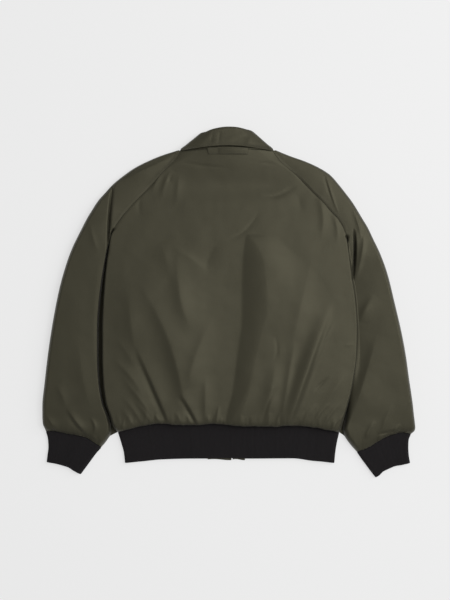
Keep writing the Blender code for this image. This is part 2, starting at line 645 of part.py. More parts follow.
def sleeve_tube(side, rows, upper):
    y = np.asarray(rows, float)
    armpit = ARMPIT_LEFT_Y if side == "left" else ARMPIT_RIGHT_Y
    table = sleeve_table(side)
    keys = column(table, "inner_y")
    a = np.stack([sleeve_inner_x(side, y), y], axis=1)
    b = np.stack([smooth(keys, column(table, "outer_x"), y), smooth(keys, column(table, "outer_y"), y)],
                 axis=1)
    share = seam_share(y, armpit)
    wrist = ease((y - keys[-1]) / 55.0)
    fold = END_FOLD_Z + (FOLD_Z - END_FOLD_Z) * wrist + NECK_FOLD_RISE * neck_share(y)
    none = np.zeros(len(y))
    if upper:
        edge_a = fold + (seam_z(y, armpit) - fold) * share
        crown = smooth(keys, column(table, "crown"), y)
        side_round = END_ROUND + (SLEEVE_SIDE_ROUND - END_ROUND) * wrist
        round_a = side_round + (SEAM_ROUND - side_round) * share
        round_b = side_round
        return Tube(a, b, edge_a, fold, share, none, round_a, round_b, crown)
    edge_a = fold * (1.0 - share)
    round_a = SLEEVE_UNDER_ROUND + (SEAM_ROUND - SLEEVE_UNDER_ROUND) * share
    return Tube(a, b, edge_a, fold, share, none, round_a, np.full(len(y), SLEEVE_UNDER_ROUND), none)


def cuff_bow(side, rows):
    """Rows near the wrist bow like the cuff seam."""
    y = np.asarray(rows, float)[:, None]
    end = sleeve_table(side)[-1].inner_y
    table = CUFF_SEAM_LEFT if side == "left" else CUFF_SEAM_RIGHT
    near = np.exp(-(y - end) / 40.0)

    def bow_y(share):
        return near * bow(table, share)
    return bow_y


def sleeve_rows(side, coarse):
    armpit = ARMPIT_LEFT_Y if side == "left" else ARMPIT_RIGHT_Y
    end = sleeve_table(side)[-1].inner_y
    wrist = [end + rise for rise in WRIST_RISES]
    arm = SLEEVE_UNDER_ROWS if coarse else SLEEVE_ROWS
    arm = [y for y in arm if y > wrist[-1] + 6]
    return np.array(wrist + arm + RAGLAN_ROWS, float)


def overarm_station(side, rows, upper_tube):
    """Station over edge B at which the overarm seam runs."""
    if side == "right":
        return np.full(len(rows), 2.0)
    inset = smooth(column(OVERARM_LEFT, "inner_y"), column(OVERARM_LEFT, "inset"), rows)
    run = upper_tube.b - upper_tube.a
    rounding = np.minimum(upper_tube.round[1], 0.46 * np.hypot(run[:, 0], run[:, 1]))
    turn = np.arccos(1.0 - np.clip(inset / rounding, 0.0, 0.95)) / (math.pi / 2)
    return 2.0 - turn


def straight(share):
    """A row that doesn't bow."""
    return 0.0 * share


def sleeve_wall(side, rows):
    """Wall thickness by row: thinner where the sleeve narrows to the neck."""
    tube = sleeve_tube(side, rows, True)
    run = tube.b - tube.a
    width = np.hypot(run[:, 0], run[:, 1])
    return (WALL * np.clip(width / 26.0, 0.45, 1.0))[:, None, None]


def overarm_normals(side, rows, seam_at):
    """Normals along the overarm seam, the same for the two halves that meet there."""
    around = np.stack([seam_at - 0.04, seam_at, seam_at + 0.04], axis=1)
    normals = grid_normals(sleeve_surface(side, rows, True, around), False)[:, 1]
    return normals if normals[:, 2].mean() > 0 else -normals


def sleeve_surface(side, rows, upper, q):
    """Points of one side of a sleeve at stations that may differ from row to row."""
    row_bow = cuff_bow(side, rows) if upper else straight
    x, y, z, weight = sleeve_tube(side, rows, upper).points(q, row_bow, SLEEVE_DOME if upper else 0.0)
    if upper:
        z = z + weight * fold_height(x, y)
    return np.stack([x, y, z], axis=2)


def make_sleeve_back(side):
    rows = sleeve_rows(side, False)
    tube = sleeve_tube(side, rows, True)
    seam_at = overarm_station(side, rows, tube)
    base = np.array(stations(3, 7, 3))
    ends = seam_at - OVERARM_GAP if side == "left" else seam_at
    q = np.array([np.where(base <= 1.0, base, 1.0 + (base - 1.0) * (end - 1.0)) for end in ends])
    outer = sleeve_surface(side, rows, True, q)
    if side == "right":
        outer[:, -1, 2] += GAP / 2
    armpit = ARMPIT_LEFT_Y if side == "left" else ARMPIT_RIGHT_Y
    outer[rows <= armpit, 0, 2] += GAP / 2
    normals = upward(grid_normals(outer, False))
    folded = rows <= armpit
    level_edges(normals, folded, np.full(len(rows), side == "right"))
    if side == "left":
        normals[:, -1] = overarm_normals(side, rows, seam_at)
    square_end(normals, 0, wrist_axis(side))
    return wall("sleeve_%s_back" % side, outer, outer - sleeve_wall(side, rows) * normals, False, SHELL)


def upward(normals):
    """Turn a grid's normals so that most of them look up."""
    return normals if normals[..., 2].mean() > 0 else -normals


def wrist_axis(side):
    row = sleeve_table(side)[-1]
    return (row.outer_y - row.inner_y, row.inner_x - row.outer_x)


def make_sleeve_front(side):
    """The lower half of a sleeve; on the left it comes round the fold to the overarm seam."""
    rows = sleeve_rows(side, side == "right")
    upper = sleeve_tube(side, rows, True)
    seam_at = overarm_station(side, rows, upper)
    under = np.array(stations(3, 2, 3))
    armpit = ARMPIT_LEFT_Y if side == "left" else ARMPIT_RIGHT_Y
    outer = sleeve_surface(side, rows, False, under)
    outer[rows <= armpit, 0, 2] -= GAP / 2
    if side == "left":
        wrap = np.array([np.linspace(2.0, end + OVERARM_GAP, 3)[1:] for end in seam_at])
        top = sleeve_surface(side, rows, True, wrap)
        outer = np.concatenate([outer, top], axis=1)
    else:
        outer[:, -1, 2] -= GAP / 2
    normals = -upward(grid_normals(outer, False))
    folded = rows <= armpit
    level_edges(normals, folded, np.full(len(rows), side == "right"))
    if side == "left":
        normals[:, -1] = overarm_normals(side, rows, seam_at)
    square_end(normals, 0, wrist_axis(side))
    return wall("sleeve_%s_front" % side, outer, outer - sleeve_wall(side, rows) * normals, False, SHELL)


# ---- knitted bands ----
def band_rows(table, alongs):
    """Edge points of the band's rows."""
    keys = column(table, "along")
    inner = np.stack([smooth(keys, column(table, "inner_x"), alongs),
                      smooth(keys, column(table, "inner_y"), alongs)], axis=1)
    outer = np.stack([smooth(keys, column(table, "outer_x"), alongs),
                      smooth(keys, column(table, "outer_y"), alongs)], axis=1)
    return inner, outer


def ring_profile(width, ribs):
    """Closed flattened ring, from the A edge over the top to B and back underneath.

    Gives the distance across from A and the height: 1 on top, -1 underneath.
    """
    flat = width - 2 * BAND_ROUND
    turn = math.pi * np.arange(BAND_TURN_STEPS) / BAND_TURN_STEPS - math.pi / 2
    across = np.concatenate([
        BAND_ROUND * (1.0 - np.cos(turn)), BAND_ROUND + flat * np.arange(ribs) / ribs,
        width - BAND_ROUND * (1.0 - np.cos(turn)),
        width - BAND_ROUND - flat * np.arange(BAND_UNDER_STEPS) / BAND_UNDER_STEPS])
    height = np.concatenate([np.sin(turn), np.ones(ribs), -np.sin(turn),
                             np.full(BAND_UNDER_STEPS, -1.0)])
    return across, height


def outward(outer, normals):
    """Turn a band's normals so that those of its upper side look up."""
    return normals if normals[..., 2][outer[..., 2] > BAND_FOLD_Z].mean() > 0 else -normals


def ribbed(outer, normals):
    """Sink every other column of points, except where the band lies flat underneath."""
    sunk = np.arange(outer.shape[1]) % 2 == 1
    under = outer[:, :, 2] < 0.01
    return outer - np.where(sunk & ~under, RIB_DEPTH, 0.0)[..., None] * normals


def make_cuff(side):
    """A knitted tube, wide at the sleeve and narrower at the wrist opening."""
    table = CUFF_LEFT if side == "left" else CUFF_RIGHT
    seam = CUFF_SEAM_LEFT if side == "left" else CUFF_SEAM_RIGHT
    edge = CUFF_EDGE_LEFT if side == "left" else CUFF_EDGE_RIGHT
    alongs = np.array([0.0, 0.33, 0.67, 1.0])
    a, b = band_rows(table, alongs)
    axis = np.array(wrist_axis(side)) / math.hypot(*wrist_axis(side))
    if axis[1] > 0:
        axis = -axis
    a[0] += axis * BAND_GAP
    b[0] += axis * BAND_GAP
    ribs = 2 * int(round(CUFF_RIBS_WIDTH / RIB_PITCH))
    outer = []
    for i, along in enumerate(alongs):
        run = b[i] - a[i]
        width = np.hypot(*run)
        top = BAND_TOP_Z - 0.6 * along
        across, height = ring_profile(width, ribs)
        share = across / width
        rise = (1 - along) * bow(seam, share) * (height > 0) + along * bow(edge, share)
        half = top / 2
        x = a[i, 0] + run[0] * share
        y = a[i, 1] + run[1] * share + rise
        outer.append(np.stack([x, y, half + half * height], axis=1))
    outer = np.array(outer)
    normals = grid_normals(outer, True)
    normals = outward(outer, normals)
    square_end(normals, 0, wrist_axis(side))
    return wall("cuff_" + side, ribbed(outer, normals), outer - WALL * normals, True, RIB)


def make_hem_rib():
    """The hem band: one strip from the centre front round the back to the centre front."""
    alongs = np.array([0.0, 0.5, 1.0])
    a, b = band_rows(HEM_BAND, alongs)
    widest = b[0, 0] - a[0, 0] - 2 * BAND_ROUND
    back_count = 2 * int(round(widest / RIB_PITCH))
    turn = np.linspace(-math.pi / 2, math.pi / 2, BAND_TURN_STEPS + 1)
    outer = []
    for i, along in enumerate(alongs):
        left, right = a[i, 0], b[i, 0]
        width = right - left
        front_left = np.linspace(HEM_END_LEFT - SEAM_GAP, left + BAND_ROUND, BAND_UNDER_STEPS + 1)[:-1]
        front_right = np.linspace(right - BAND_ROUND, HEM_END_RIGHT + SEAM_GAP, BAND_UNDER_STEPS + 1)
        turn_left = left + BAND_ROUND * (1.0 - np.cos(turn[:-1]))
        turn_right = right - BAND_ROUND * (1.0 - np.cos(turn[1:-1]))
        back = np.linspace(left + BAND_ROUND, right - BAND_ROUND, back_count + 1)
        x = np.concatenate([front_left, turn_left, back, turn_right, front_right])
        height = np.concatenate([np.full(len(front_left), -1.0), np.sin(turn[:-1]),
                                 np.ones(len(back)), -np.sin(turn[1:-1]),
                                 np.full(len(front_right), -1.0)])
        share = (x - left) / width
        top_share = ease((height + 1) / 2)
        seam_back = bow(HEM_BOW, share) - BAND_GAP
        seam_front = np.full(len(x), -BAND_GAP)
        edge_back = bow(BAND_EDGE_BOW, share)
        edge_front = bow(BAND_EDGE_BOW, share) - 2.0 * ease(share * (1 - share) * 8)
        rise_seam = seam_front + (seam_back - seam_front) * top_share
        rise_edge = edge_front + (edge_back - edge_front) * top_share
        y = a[i, 1] + (1 - along) * rise_seam + along * rise_edge
        half = (BAND_TOP_Z - 0.8 * along) / 2
        outer.append(np.stack([x, y, half + half * height], axis=1))
    outer = np.array(outer)
    normals = grid_normals(outer, False)
    normals = outward(outer, normals)
    square_end(normals, 0, (0, 1))
    square_end(normals, -1, (0, 1))
    return wall("hem_rib", ribbed(outer, normals), outer - WALL * normals, False, RIB)


def make_hem_end(side):
    """Short piece of shell cloth between the hem band and the zip, lying flat underneath."""
    if side == "left":
        span = (HEM_END_LEFT, FRONT_EDGE_LEFT)
    else:
        span = (FRONT_EDGE_RIGHT, HEM_END_RIGHT)
    x = np.linspace(span[0], span[1], 7)
    ripple = HEM_END_RIPPLE * np.sin(np.linspace(0.4, 5.0, len(x)))
    rows = []
    for along in (0.0, 0.5, 1.0):
        y = (HEM_Y - BAND_GAP) * (1 - along) + (HEM_END_Y + ripple) * along
        rows.append(np.stack([x, y, np.zeros(len(x))], axis=1))
    lower = np.array(rows)
    upper = lower + np.array([0.0, 0.0, HEM_END_THICK])
    return wall("hem_end_" + side, lower, upper, False, SHELL)


def make_zip():
    """Closed zip behind the two front edges: a flat tape with the chain down its middle."""
    centre = (FRONT_EDGE_LEFT + FRONT_EDGE_RIGHT) / 2
    x = centre + np.array([-ZIP_HALF, -CHAIN_SHOULDER, -CHAIN_HALF, CHAIN_HALF, CHAIN_SHOULDER, ZIP_HALF])
    chain = (np.abs(x - centre) <= CHAIN_HALF).astype(float)
    lower = []
    upper = []
    for y in np.linspace(HEM_END_Y + ZIP_FOOT, NECK_FRONT_Y - NECK_CLEAR, 4):
        line = np.full(len(x), y)
        lower.append(np.stack([x, line, ZIP_Z - CHAIN_DROP * chain], axis=1))
        upper.append(np.stack([x, line, ZIP_Z + ZIP_TAPE + CHAIN_RAISE * chain], axis=1))
    return wall("zip", np.array(lower), np.array(upper), False, ZIP)


# ---- collar ----
def collar_out(side):
    """Horizontal direction across the collar's folded side, away from the neck."""
    low, high = NECK_CORNERS[side], ROLL_CORNERS[side]
    run = np.array([high.x - low.x, high.y - low.y])
    run /= np.linalg.norm(run)
    return np.array([-run[1], run[0]]) if side == "left" else np.array([run[1], -run[0]])


def collar_fold(side, w):
    """Point on the folded side of the collar, at a share w of the way up the stand."""
    low, high = NECK_CORNERS[side], ROLL_CORNERS[side]
    return np.array([low.x + (high.x - low.x) * w, low.y + (high.y - low.y) * w])


def collar_round(w):
    return 3.0 + 5.0 * w


def collar_corner(side, w, part="front"):
    """Where the turn of the folded side meets the flat back or front of the collar."""
    inward = 1.0 if side == "left" else -1.0
    run_x, run_y = TOWARDS_BACK if part == "back" else TOWARDS_FRONT
    if part == "back":
        run_y *= w
    return collar_fold(side, w) + collar_round(w) * np.array([inward * run_x, run_y])


def collar_point(station, w, offset):
    """A point of the collar: station (part, side, t), w up the stand, offset out of the ring."""
    part, side, t = station
    settle = ease(w / 0.2)
    across = t * (1.0 if part == "back" else 0.0)
    near = np.clip(min(across, 1.0 - across) * NECK_WIDTH / NECK_CORNER_ROUND, 0.0, 1.0)
    full = crown_z(NECK_Y) + BODY_DOME * math.sin(math.pi * across)
    thin = crown_z(NECK_Y) - SEAM_DIP - NECK_CORNER_DROP
    back_z = thin + (full - thin) * math.sin(near * math.pi / 2) - COLLAR_SINK * settle
    front_z = COLLAR_FRONT_Z * settle
    if part == "back":
        left, right = collar_corner("left", w, "back"), collar_corner("right", w, "back")
        x, y = left + (right - left) * t
        y += 4.0 * t * (1 - t) * (NECK_RISE + (ROLL_BOW - NECK_RISE) * w)
        return np.array([x, y, back_z + offset])
    if part == "turn":
        middle = (back_z + front_z) / 2
        tall = (back_z - front_z) / 2
        fold = collar_fold(side, w)
        corner = collar_corner(side, w, "back" if t > 0 else "front")
        x, y = fold + (corner - fold) * (1.0 - math.cos(t)) + collar_out(side) * offset * math.cos(t)
        return np.array([x, y, middle + (tall + offset) * math.sin(t)])
    corner = collar_corner(side, w)
    sign = -1.0 if side == "left" else 1.0
    end_x = FRONT_EDGE_LEFT if side == "left" else FRONT_EDGE_RIGHT
    end = np.array([end_x, NECK_FRONT_Y + COLLAR_FRONT_STAND * w])
    reach = NECKLINE_CONTROL + (NECKLINE_CONTROL_ROLL - NECKLINE_CONTROL) * w
    control = np.array([sign * reach, NECK_FRONT_Y + COLLAR_FRONT_STAND * w])
    x, y = (1 - t) ** 2 * corner + 2 * t * (1 - t) * control + t * t * end
    return np.array([x, y, front_z - offset])


def make_collar():
    """Stand and fall in one folded strip, right round the neck, open at the centre front."""
    neck_rows = np.array([y for y in RAGLAN_ROWS[:-1] if y >= NECK_FRONT_Y], float)
    steps = list(neckline_step(neck_rows))
    ring = [("front", "left", t) for t in steps]
    ring += [("turn", "left", math.radians(a)) for a in COLLAR_TURN]
    ring += [("back", "", t) for t in COLLAR_BACK]
    ring += [("turn", "right", math.radians(a)) for a in COLLAR_TURN[::-1]]
    ring += [("front", "right", t) for t in steps[::-1]]
    faces = []
    backs = []
    for station in ring:
        back_share = {"back": 1.0, "front": 0.0}.get(station[0], 0.5 + 0.5 * math.sin(station[2]))
        if station[0] == "back":
            edge = FALL_EDGE + FALL_EDGE_BACK * 4.0 * station[2] * (1 - station[2])
        else:
            edge = FALL_EDGE + FALL_EDGE_FRONT * (1.0 - back_share)
        face = []
        back = []
        for share in FALL_STEPS:
            w = edge + (1.0 - edge) * share
            gap = FALL_GAP + FALL_LIFT * back_share * (1.0 - share) ** 1.5
            face.append(collar_point(station, w, gap + WALL))
            back.append(collar_point(station, w, gap))
        face.append(collar_point(station, 1.0 + ROLL_EXTRA, FALL_GAP / 2))
        back.append(collar_point(station, 1.0 + 0.2 * ROLL_EXTRA, FALL_GAP / 2))
        for w in STAND_STEPS:
            face.append(collar_point(station, w, -WALL))
            back.append(collar_point(station, w, 0.0))
        faces.append(face)
        backs.append(back)
    return wall("collar", np.array(faces), np.array(backs), False, SHELL)


# ---- hanger loop ----
def make_hanger_loop():
    """Flat strip over the back neck seam, sewn down at both ends."""
    x = np.linspace(LOOP_LEFT, LOOP_RIGHT, 9)
    y = np.linspace(LOOP_LOW_Y, LOOP_HIGH_Y, 4)
    grid_x, grid_y = np.meshgrid(x, y)
    grid_x = grid_x - LOOP_SLANT * (grid_y - LOOP_HIGH_Y) * np.clip(grid_x / LOOP_LEFT, 0, 1)
    top = crown_z(np.minimum(grid_y, NECK_Y)) + BODY_DOME + fold_height(grid_x, grid_y)
    top = np.maximum(top, crown_z(np.full(grid_y.shape, NECK_Y)))
    free = np.sin(math.pi * (grid_x - LOOP_LEFT) / (LOOP_RIGHT - LOOP_LEFT))
    lower = np.stack([grid_x, grid_y, top + LOOP_LIFT + LOOP_BULGE * np.clip(free, 0, 1)], axis=2)
    upper = lower + np.array([0.0, 0.0, LOOP_THICK])
    return wall("hanger_loop", upper, lower, False, SHELL)


# ---- build ----
for item in list(bpy.data.objects):
    bpy.data.objects.remove(item, do_unlink=True)
JACKET = bpy.data.collections.new("bomber_jacket")
bpy.context.scene.collection.children.link(JACKET)

make_back()
for which in ("left", "right"):
    make_front(which)
    make_sleeve_back(which)
    make_sleeve_front(which)
    make_cuff(which)
    make_hem_end(which)
make_hem_rib()
make_zip()
make_collar()
make_hanger_loop()
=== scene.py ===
"""Looks of the raglan bomber jacket, laid flat on its front with its back up.

Each piece of cloth is a fine sheet that follows its solid, with the seams, gathers, creases and
knitted ribs of the garment.  X runs across the jacket, Y from the hem to the collar, Z up.
Lengths are in millimetres, apart from the meshes, the floor, the lamps and the camera, which are
in metres.
"""

from collections import namedtuple
import math

import bpy
import numpy as np
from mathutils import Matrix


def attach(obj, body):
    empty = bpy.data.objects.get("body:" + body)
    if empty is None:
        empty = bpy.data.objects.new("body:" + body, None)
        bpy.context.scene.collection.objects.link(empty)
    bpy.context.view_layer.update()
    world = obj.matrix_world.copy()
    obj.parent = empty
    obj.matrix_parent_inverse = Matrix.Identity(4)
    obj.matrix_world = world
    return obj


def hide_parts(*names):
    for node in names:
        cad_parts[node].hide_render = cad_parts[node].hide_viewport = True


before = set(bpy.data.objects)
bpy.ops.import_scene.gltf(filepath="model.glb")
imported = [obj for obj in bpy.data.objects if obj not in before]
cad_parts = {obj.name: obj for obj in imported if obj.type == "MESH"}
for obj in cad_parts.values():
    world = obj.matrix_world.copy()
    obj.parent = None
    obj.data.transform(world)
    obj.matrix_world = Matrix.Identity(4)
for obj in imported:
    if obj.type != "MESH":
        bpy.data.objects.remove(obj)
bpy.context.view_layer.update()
MM = 0.001
SIDES = ("left", "right")
SIGN = {"left": -1.0, "right": 1.0}  # of X on that side

# ---- driving dimensions, in millimetres ----
WALL = 2.4  # quilt-backed shell cloth
GAP = 0.3  # between pieces sewn together
SEAM_GAP = 0.1  # along the curved raglan seams and the neck
BAND_GAP = 0.8  # where a knitted band meets the shell
TUCK = 3.0  # how far a sleeve's lower half runs in under the body's side
TUCK_START = -296.0  # it starts to do so at this row, and is all the way in after TUCK_RUN
TUCK_RUN = 14.0
FOLD_Z = 8.0  # height of the folded edges of the body and the sleeves
END_FOLD_Z = 7.5  # the same where they meet a knitted band
HEM_FOLD_RUN = 40.0  # over which the body's fold comes down to the hem band
NECK_FOLD_RISE = 4.0  # how much higher the sleeves' fold lies where it reaches the collar
BAND_FOLD_Z = 6.8  # height of the folds of the hem band and the cuffs
BAND_TOP_Z = 13.4  # height of their upper side at the seam
HEM_TAPER = 0.8  # how much thinner the hem band is at its free edge
HEM_FRONT_LOW = 2.0  # and how much further down that edge reaches underneath
CUFF_TAPER = 0.6
CUFF_CLEAR = 0.2  # share of a cuff over which it closes up to its seam
BODY_DOME = 1.5  # how much higher the middle of a row lies than its sides
SLEEVE_DOME = 1.0
DOME_WIDTH = 80.0  # rows narrower than this swell less
BODY_UNDER_ROUND = 15.0  # how far in the body's sides round over underneath
FRONT_EDGE_ROUND = 6.0  # and the fronts at their centre edge
SLEEVE_OUTER_ROUND = 10.0  # and the outer fold of the sleeves on top
SLEEVE_UNDER_ROUND = 14.0  # and underneath
END_ROUND = 11.0  # and on top where the sleeve comes down to its cuff
CUFF_RUN = 55.0  # over which a sleeve does so
ROUND_LIMIT = (0.3, 0.46)  # the most of a row's width that either round takes
UNDER_Z = 0.3  # the cloth underneath lies just off the floor
SLEEVE_TILT = {"left": 0.0, "right": 0.125}  # rise of the upper side towards the outer fold
TILT_TOP_Y = 150.0  # the tilt starts here and is full after TILT_TOP_RUN
TILT_TOP_RUN = 60.0
TILT_LOW_Y = -300.0  # and it ends in the same way at the cuff
TILT_LOW_RUN = 180.0
SEAM_ROUND = 8.0  # width of the dip along a raglan seam
SEAM_DIP = 0.4
PINCH_DEPTH = 0.3  # how far the stitching draws the cloth down beside the seam
PINCH_REACH = 2.0
HEM_Y = -286.0
HEM_BOW_REACH = 70.0  # how far up the rows bow like the hem seam
CUFF_BOW_REACH = 40.0
NECK_Y = 332.0
NECK_RISE = 4.0  # the back neck seam bows up by this much
NECK_BOW_Y = 250.0  # the rows above this bow like the neck seam
NECK_CORNER_DROP = 3.4  # the neck thins towards its two corners
NECK_CORNER_RUN = 42.0
NECK_CORNER_ROUND = 42.0
ARMPIT_Y = {"left": 152.0, "right": 137.0}
ARMPIT_RUN = 12.0  # over which a raglan seam drops to the side fold
SLEEVE_GAP_RUN = 8.0  # over which the gap between the body and the sleeve opens below it
RAGLAN_TOP_FRONT = 320.0
FRONT_EDGE = {"left": 6.0, "right": 10.0}  # centre front edges, either side of the zip
NECK_FRONT_Y = 250.0  # lowest point of the front neck
BAND_ROUND = 8.0  # how far in the knitted bands round over at their folds

# ---- the hem band's ends and the zip ----
HEM_END = {"left": -45.0, "right": 36.0}  # outer ends of the two shell-cloth pieces
HEM_END_THICK = 2.6
HEM_END_Y = -346.5
HEM_END_RIPPLE = 1.2  # waviness of their foot, which peeps out below the band
HEM_END_BULGE = 0.6  # how far their two side edges round outwards
HEM_END_SINK = 0.3  # of their uneven upper side
HEM_END_CLOSE = 0.7  # their foot closes over this length
ZIP_HALF = 14.0
ZIP_SLIT = 0.4  # half the slit between the two tapes
ZIP_Z = 2.95  # the tape lies on the fronts, the chain hangs down between them
TAPE_LIFT = 0.2  # of the tape above ZIP_Z
ZIP_FOOT = 6.0  # the zip ends this far above the foot of the hem band's ends
TOOTH_PITCH = 2.4
TOOTH_FIRST = 4.0  # from the foot of the tape to the first tooth
TOOTH_LAST = 3.0  # and from the last one to its head
TOOTH_ASIDE = 0.55  # the teeth sit to the left and right in turn
TOOTH_DROP = 0.7  # how far their middle lies below ZIP_Z
TOOTH = (1.9, 1.3, 1.5)  # size of one tooth across, along and up
TOOTH_TAPER = 0.72  # its lower face beside its upper one

# ---- the collar ----
COLLAR_FRONT_STAND = 46.0
NECKLINE_CONTROL = 71.0  # how wide the front neckline is at its bottom
NECKLINE_CONTROL_ROLL = 45.0
NECK_CLEAR = 1.2  # the fronts stop this far from the neck seam
COLLAR_SINK = 2.5  # the stand lies this much lower than the back's cloth, under the fall
COLLAR_SETTLE = 0.2  # and does so from this share of its height upwards
COLLAR_ROUND = (3.0, 8.0)  # how far in its folded sides round over, at the neck and at the roll
NECK_WIDTH = 202.0
COLLAR_FRONT_Z = 3.3  # height of the stand at the front, over the fall
FALL_GAP = 0.9  # between the stand and the fall
FALL_LIFT = 3.0  # how far the free edge of the fall stands off at the back
FALL_EDGE = -0.02  # where the fall ends, as a share of the stand's height
FALL_EDGE_BACK = 0.17  # and how much higher it ends at the middle of the back
FALL_EDGE_FRONT = 0.18  # and at the front
FALL_INSIDE = (0.3, 0.12, 0.03)  # rows on its inner side, as shares of the way to the roll
FALL_LIP = 0.004  # the edge itself reaches past FALL_EDGE by this share
ROLL_START = 0.93  # share of the fall at which the cloth turns over
FALL_OUTSIDE = (0.03, 0.06, *np.linspace(0.1, ROLL_START, 16))  # rows up its outer side
ROLL_ANGLES = (65, 40, 15, -10, -35, -60, -85)
ROLL_EXTRA = 0.055  # the roll reaches past the stand by this share of its height
ROLL_BOW = 7.5  # how much the roll bows up across the back
STAND_ROWS = (0.92, -0.12, 16)  # from the roll down to the allowance inside the back
TOWARDS_BACK = (1.0, 0.25)  # the collar's run beside its folded sides
TOWARDS_FRONT = (0.3, -0.95)
COLLAR_UPPER_Z = 6.0  # only the cloth above this is uneven

# ---- the hanger loop ----
LOOP_LEFT = -47.0
LOOP_RIGHT = 43.0
LOOP_LOW_Y = 324.0
LOOP_HIGH_Y = 337.5
LOOP_THICK = 1.0
LOOP_LIFT = 0.2  # off the cloth at its sewn ends, and more between them
LOOP_BULGE = 2.2  # its lower edge stands off between LOOP_FREE_X and the right end
LOOP_FREE_X = -22.0
LOOP_TILT = 1.2  # its upper edge rides up on the collar's seam
LOOP_SLANT = 0.25  # the left end runs down at a slant
LOOP_ROLL = 0.7  # radius at which its edges turn in


# ---- tables ----
def table(row_type, rows):
    """A table as a list of rows whose columns have names; the first column is its key."""
    return [row_type(*values) for values in rows]


# Body outline: side fold up to the armpit, then the raglan seam.
Section = namedtuple("Section", "y left right")
BODY = table(Section, [
    (-286, -244, 244.5),
    (-272, -255, 249.5),
    (-246, -262.5, 257.5),
    (-219, -271, 265),
    (-170, -276.5, 276),
    (-120, -278, 283),
    (-60, -278, 285),
    (0, -276, 281.5),
    (60, -271.5, 273),
    (110, -265.5, 266.5),
    (137, -261.5, 262.5),
    (152, -257.5, 256.5),
    (167, -247.5, 250.5),
    (183, -236, 240.5),
    (200, -223, 224),
    (220, -205, 207),
    (240, -185, 186),
    (258, -167.5, 168.5),
    (278, -151, 149),
    (296, -134, 128),
    (312, -118, 111),
    (332, -104, 97),
])

# Height of the back's outer face over the rise from the hem seam.
Crown = namedtuple("Crown", "rise z")
BODY_CROWN = table(Crown, [
    (0, 19.5), (1.5, 24), (4, 27.4), (8, 29.4), (14, 30.6), (28, 31.6), (60, 33), (100, 33.6),
    (260, 33.6), (400, 32), (500, 28.5), (545, 26.8), (596, 30.2), (622, 31.6),
])

# Sleeves: a row from the inner edge to the outer fold.  Inner edges above the armpit follow
# the raglan seam, so their x stands empty.
Row = namedtuple("Row", "inner_y inner_x outer_x outer_y crown")
SLEEVE_LEFT = table(Row, [
    (332, None, -111, 334.5, 27.2),
    (319, None, -144, 324.5, 27.2),
    (304, None, -174, 312.5, 28),
    (287, None, -206, 296.5, 28),
    (266, None, -232, 278.5, 27.8),
    (244, None, -254, 260.5, 28.2),
    (226, None, -271, 242, 28.8),
    (208, None, -287, 224, 29.4),
    (192, None, -300, 204, 30),
    (174, None, -311, 186, 30.4),
    (152, -255, -327, 155, 31),
    (120, -262, -344, 120, 32),
    (85, -270, -357, 85, 32),
    (30, -275, -372, 32, 32),
    (-40, -279, -386, -38, 31.5),
    (-110, -279, -397, -109, 31),
    (-180, -276, -405, -177, 30),
    (-235, -267, -410, -228, 28.5),
    (-262, -260, -410, -250, 26.5),
    (-284, -258, -409, -267, 25),
    (-304, -268, -405, -277, 22),
    (-320, -281, -402, -284, 14.6),
])
SLEEVE_RIGHT = table(Row, [
    (332, None, 105, 334.5, 27.2),
    (319, None, 139, 321, 27.2),
    (304, None, 168, 311, 28),
    (287, None, 200, 296.5, 28),
    (268, None, 224, 281, 27.8),
    (250, None, 243, 260, 28),
    (232, None, 258, 241, 28.6),
    (215, None, 273, 221, 29.2),
    (198, None, 285, 202, 29.8),
    (180, None, 295, 185, 30.2),
    (160, None, 306, 167, 30.8),
    (137, 259, 319, 140, 31),
    (105, 263, 335, 106, 32),
    (60, 269, 351, 61, 32),
    (0, 278, 366, 0, 32),
    (-70, 281, 382, -69, 31.5),
    (-120, 279.5, 391, -118, 31),
    (-170, 272.5, 398, -168, 30),
    (-225, 262, 406, -222, 28.5),
    (-255, 258, 409, -249, 26.5),
    (-277, 252, 411, -265, 25.2),
    (-295, 257, 412, -276, 23.6),
    (-313, 269, 410, -283, 20.8),
    (-330, 284, 402, -290, 14.6),
])
SLEEVE = {"left": SLEEVE_LEFT, "right": SLEEVE_RIGHT}

# The overarm seam of the left sleeve comes round the fold and shows on top; inset from the fold.
Inset = namedtuple("Inset", "inner_y inset")
OVERARM_LEFT = table(Inset, [(332, 1.6), (304, 8), (275, 9.5), (244, 5), (215, 1.6), (-320, 1.6)])
OVERARM_GAP = 0.016  # half the gap there, in steps of the quarter turn over the fold

# A seam or an edge that bows away from the straight line between its two ends.
Bow = namedtuple("Bow", "along rise")
HEM_BOW = table(Bow, [
    (0, 0), (0.05, 6.5), (0.12, 14.5), (0.2, 19.5), (0.27, 16.5), (0.35, 16), (0.43, 19), (0.55, 14),
    (0.64, 13.5), (0.7, 12.5), (0.77, 15), (0.85, 13), (0.91, 8.5), (1, 0),
])
BAND_EDGE_BOW = table(Bow, [
    (0, 0), (0.07, 3.5), (0.17, 9), (0.33, 11), (0.6, 11), (0.8, 11.5), (0.9, 5.5), (1, 0),
])
CUFF_SEAM_LEFT = table(Bow, [
    (0, 0), (0.14, 7), (0.3, 12.5), (0.45, 11.5), (0.6, 9), (0.8, 7), (0.92, 3.5), (1, 0),
])
CUFF_SEAM_RIGHT = table(Bow, [
    (0, 0), (0.16, 1), (0.28, 4), (0.39, 8.5), (0.52, 12), (0.64, 13), (0.75, 12), (0.86, 9), (1, 0),
])
CUFF_EDGE_LEFT = table(Bow, [(0, 0), (0.2, 2.5), (0.37, 6), (0.59, 5), (0.76, 3.5), (1, 0)])
CUFF_EDGE_RIGHT = table(Bow, [(0, 0), (0.1, 2), (0.23, 7), (0.5, 7.8), (0.77, 3.5), (1, 0)])
CUFF_SEAM = {"left": CUFF_SEAM_LEFT, "right": CUFF_SEAM_RIGHT}
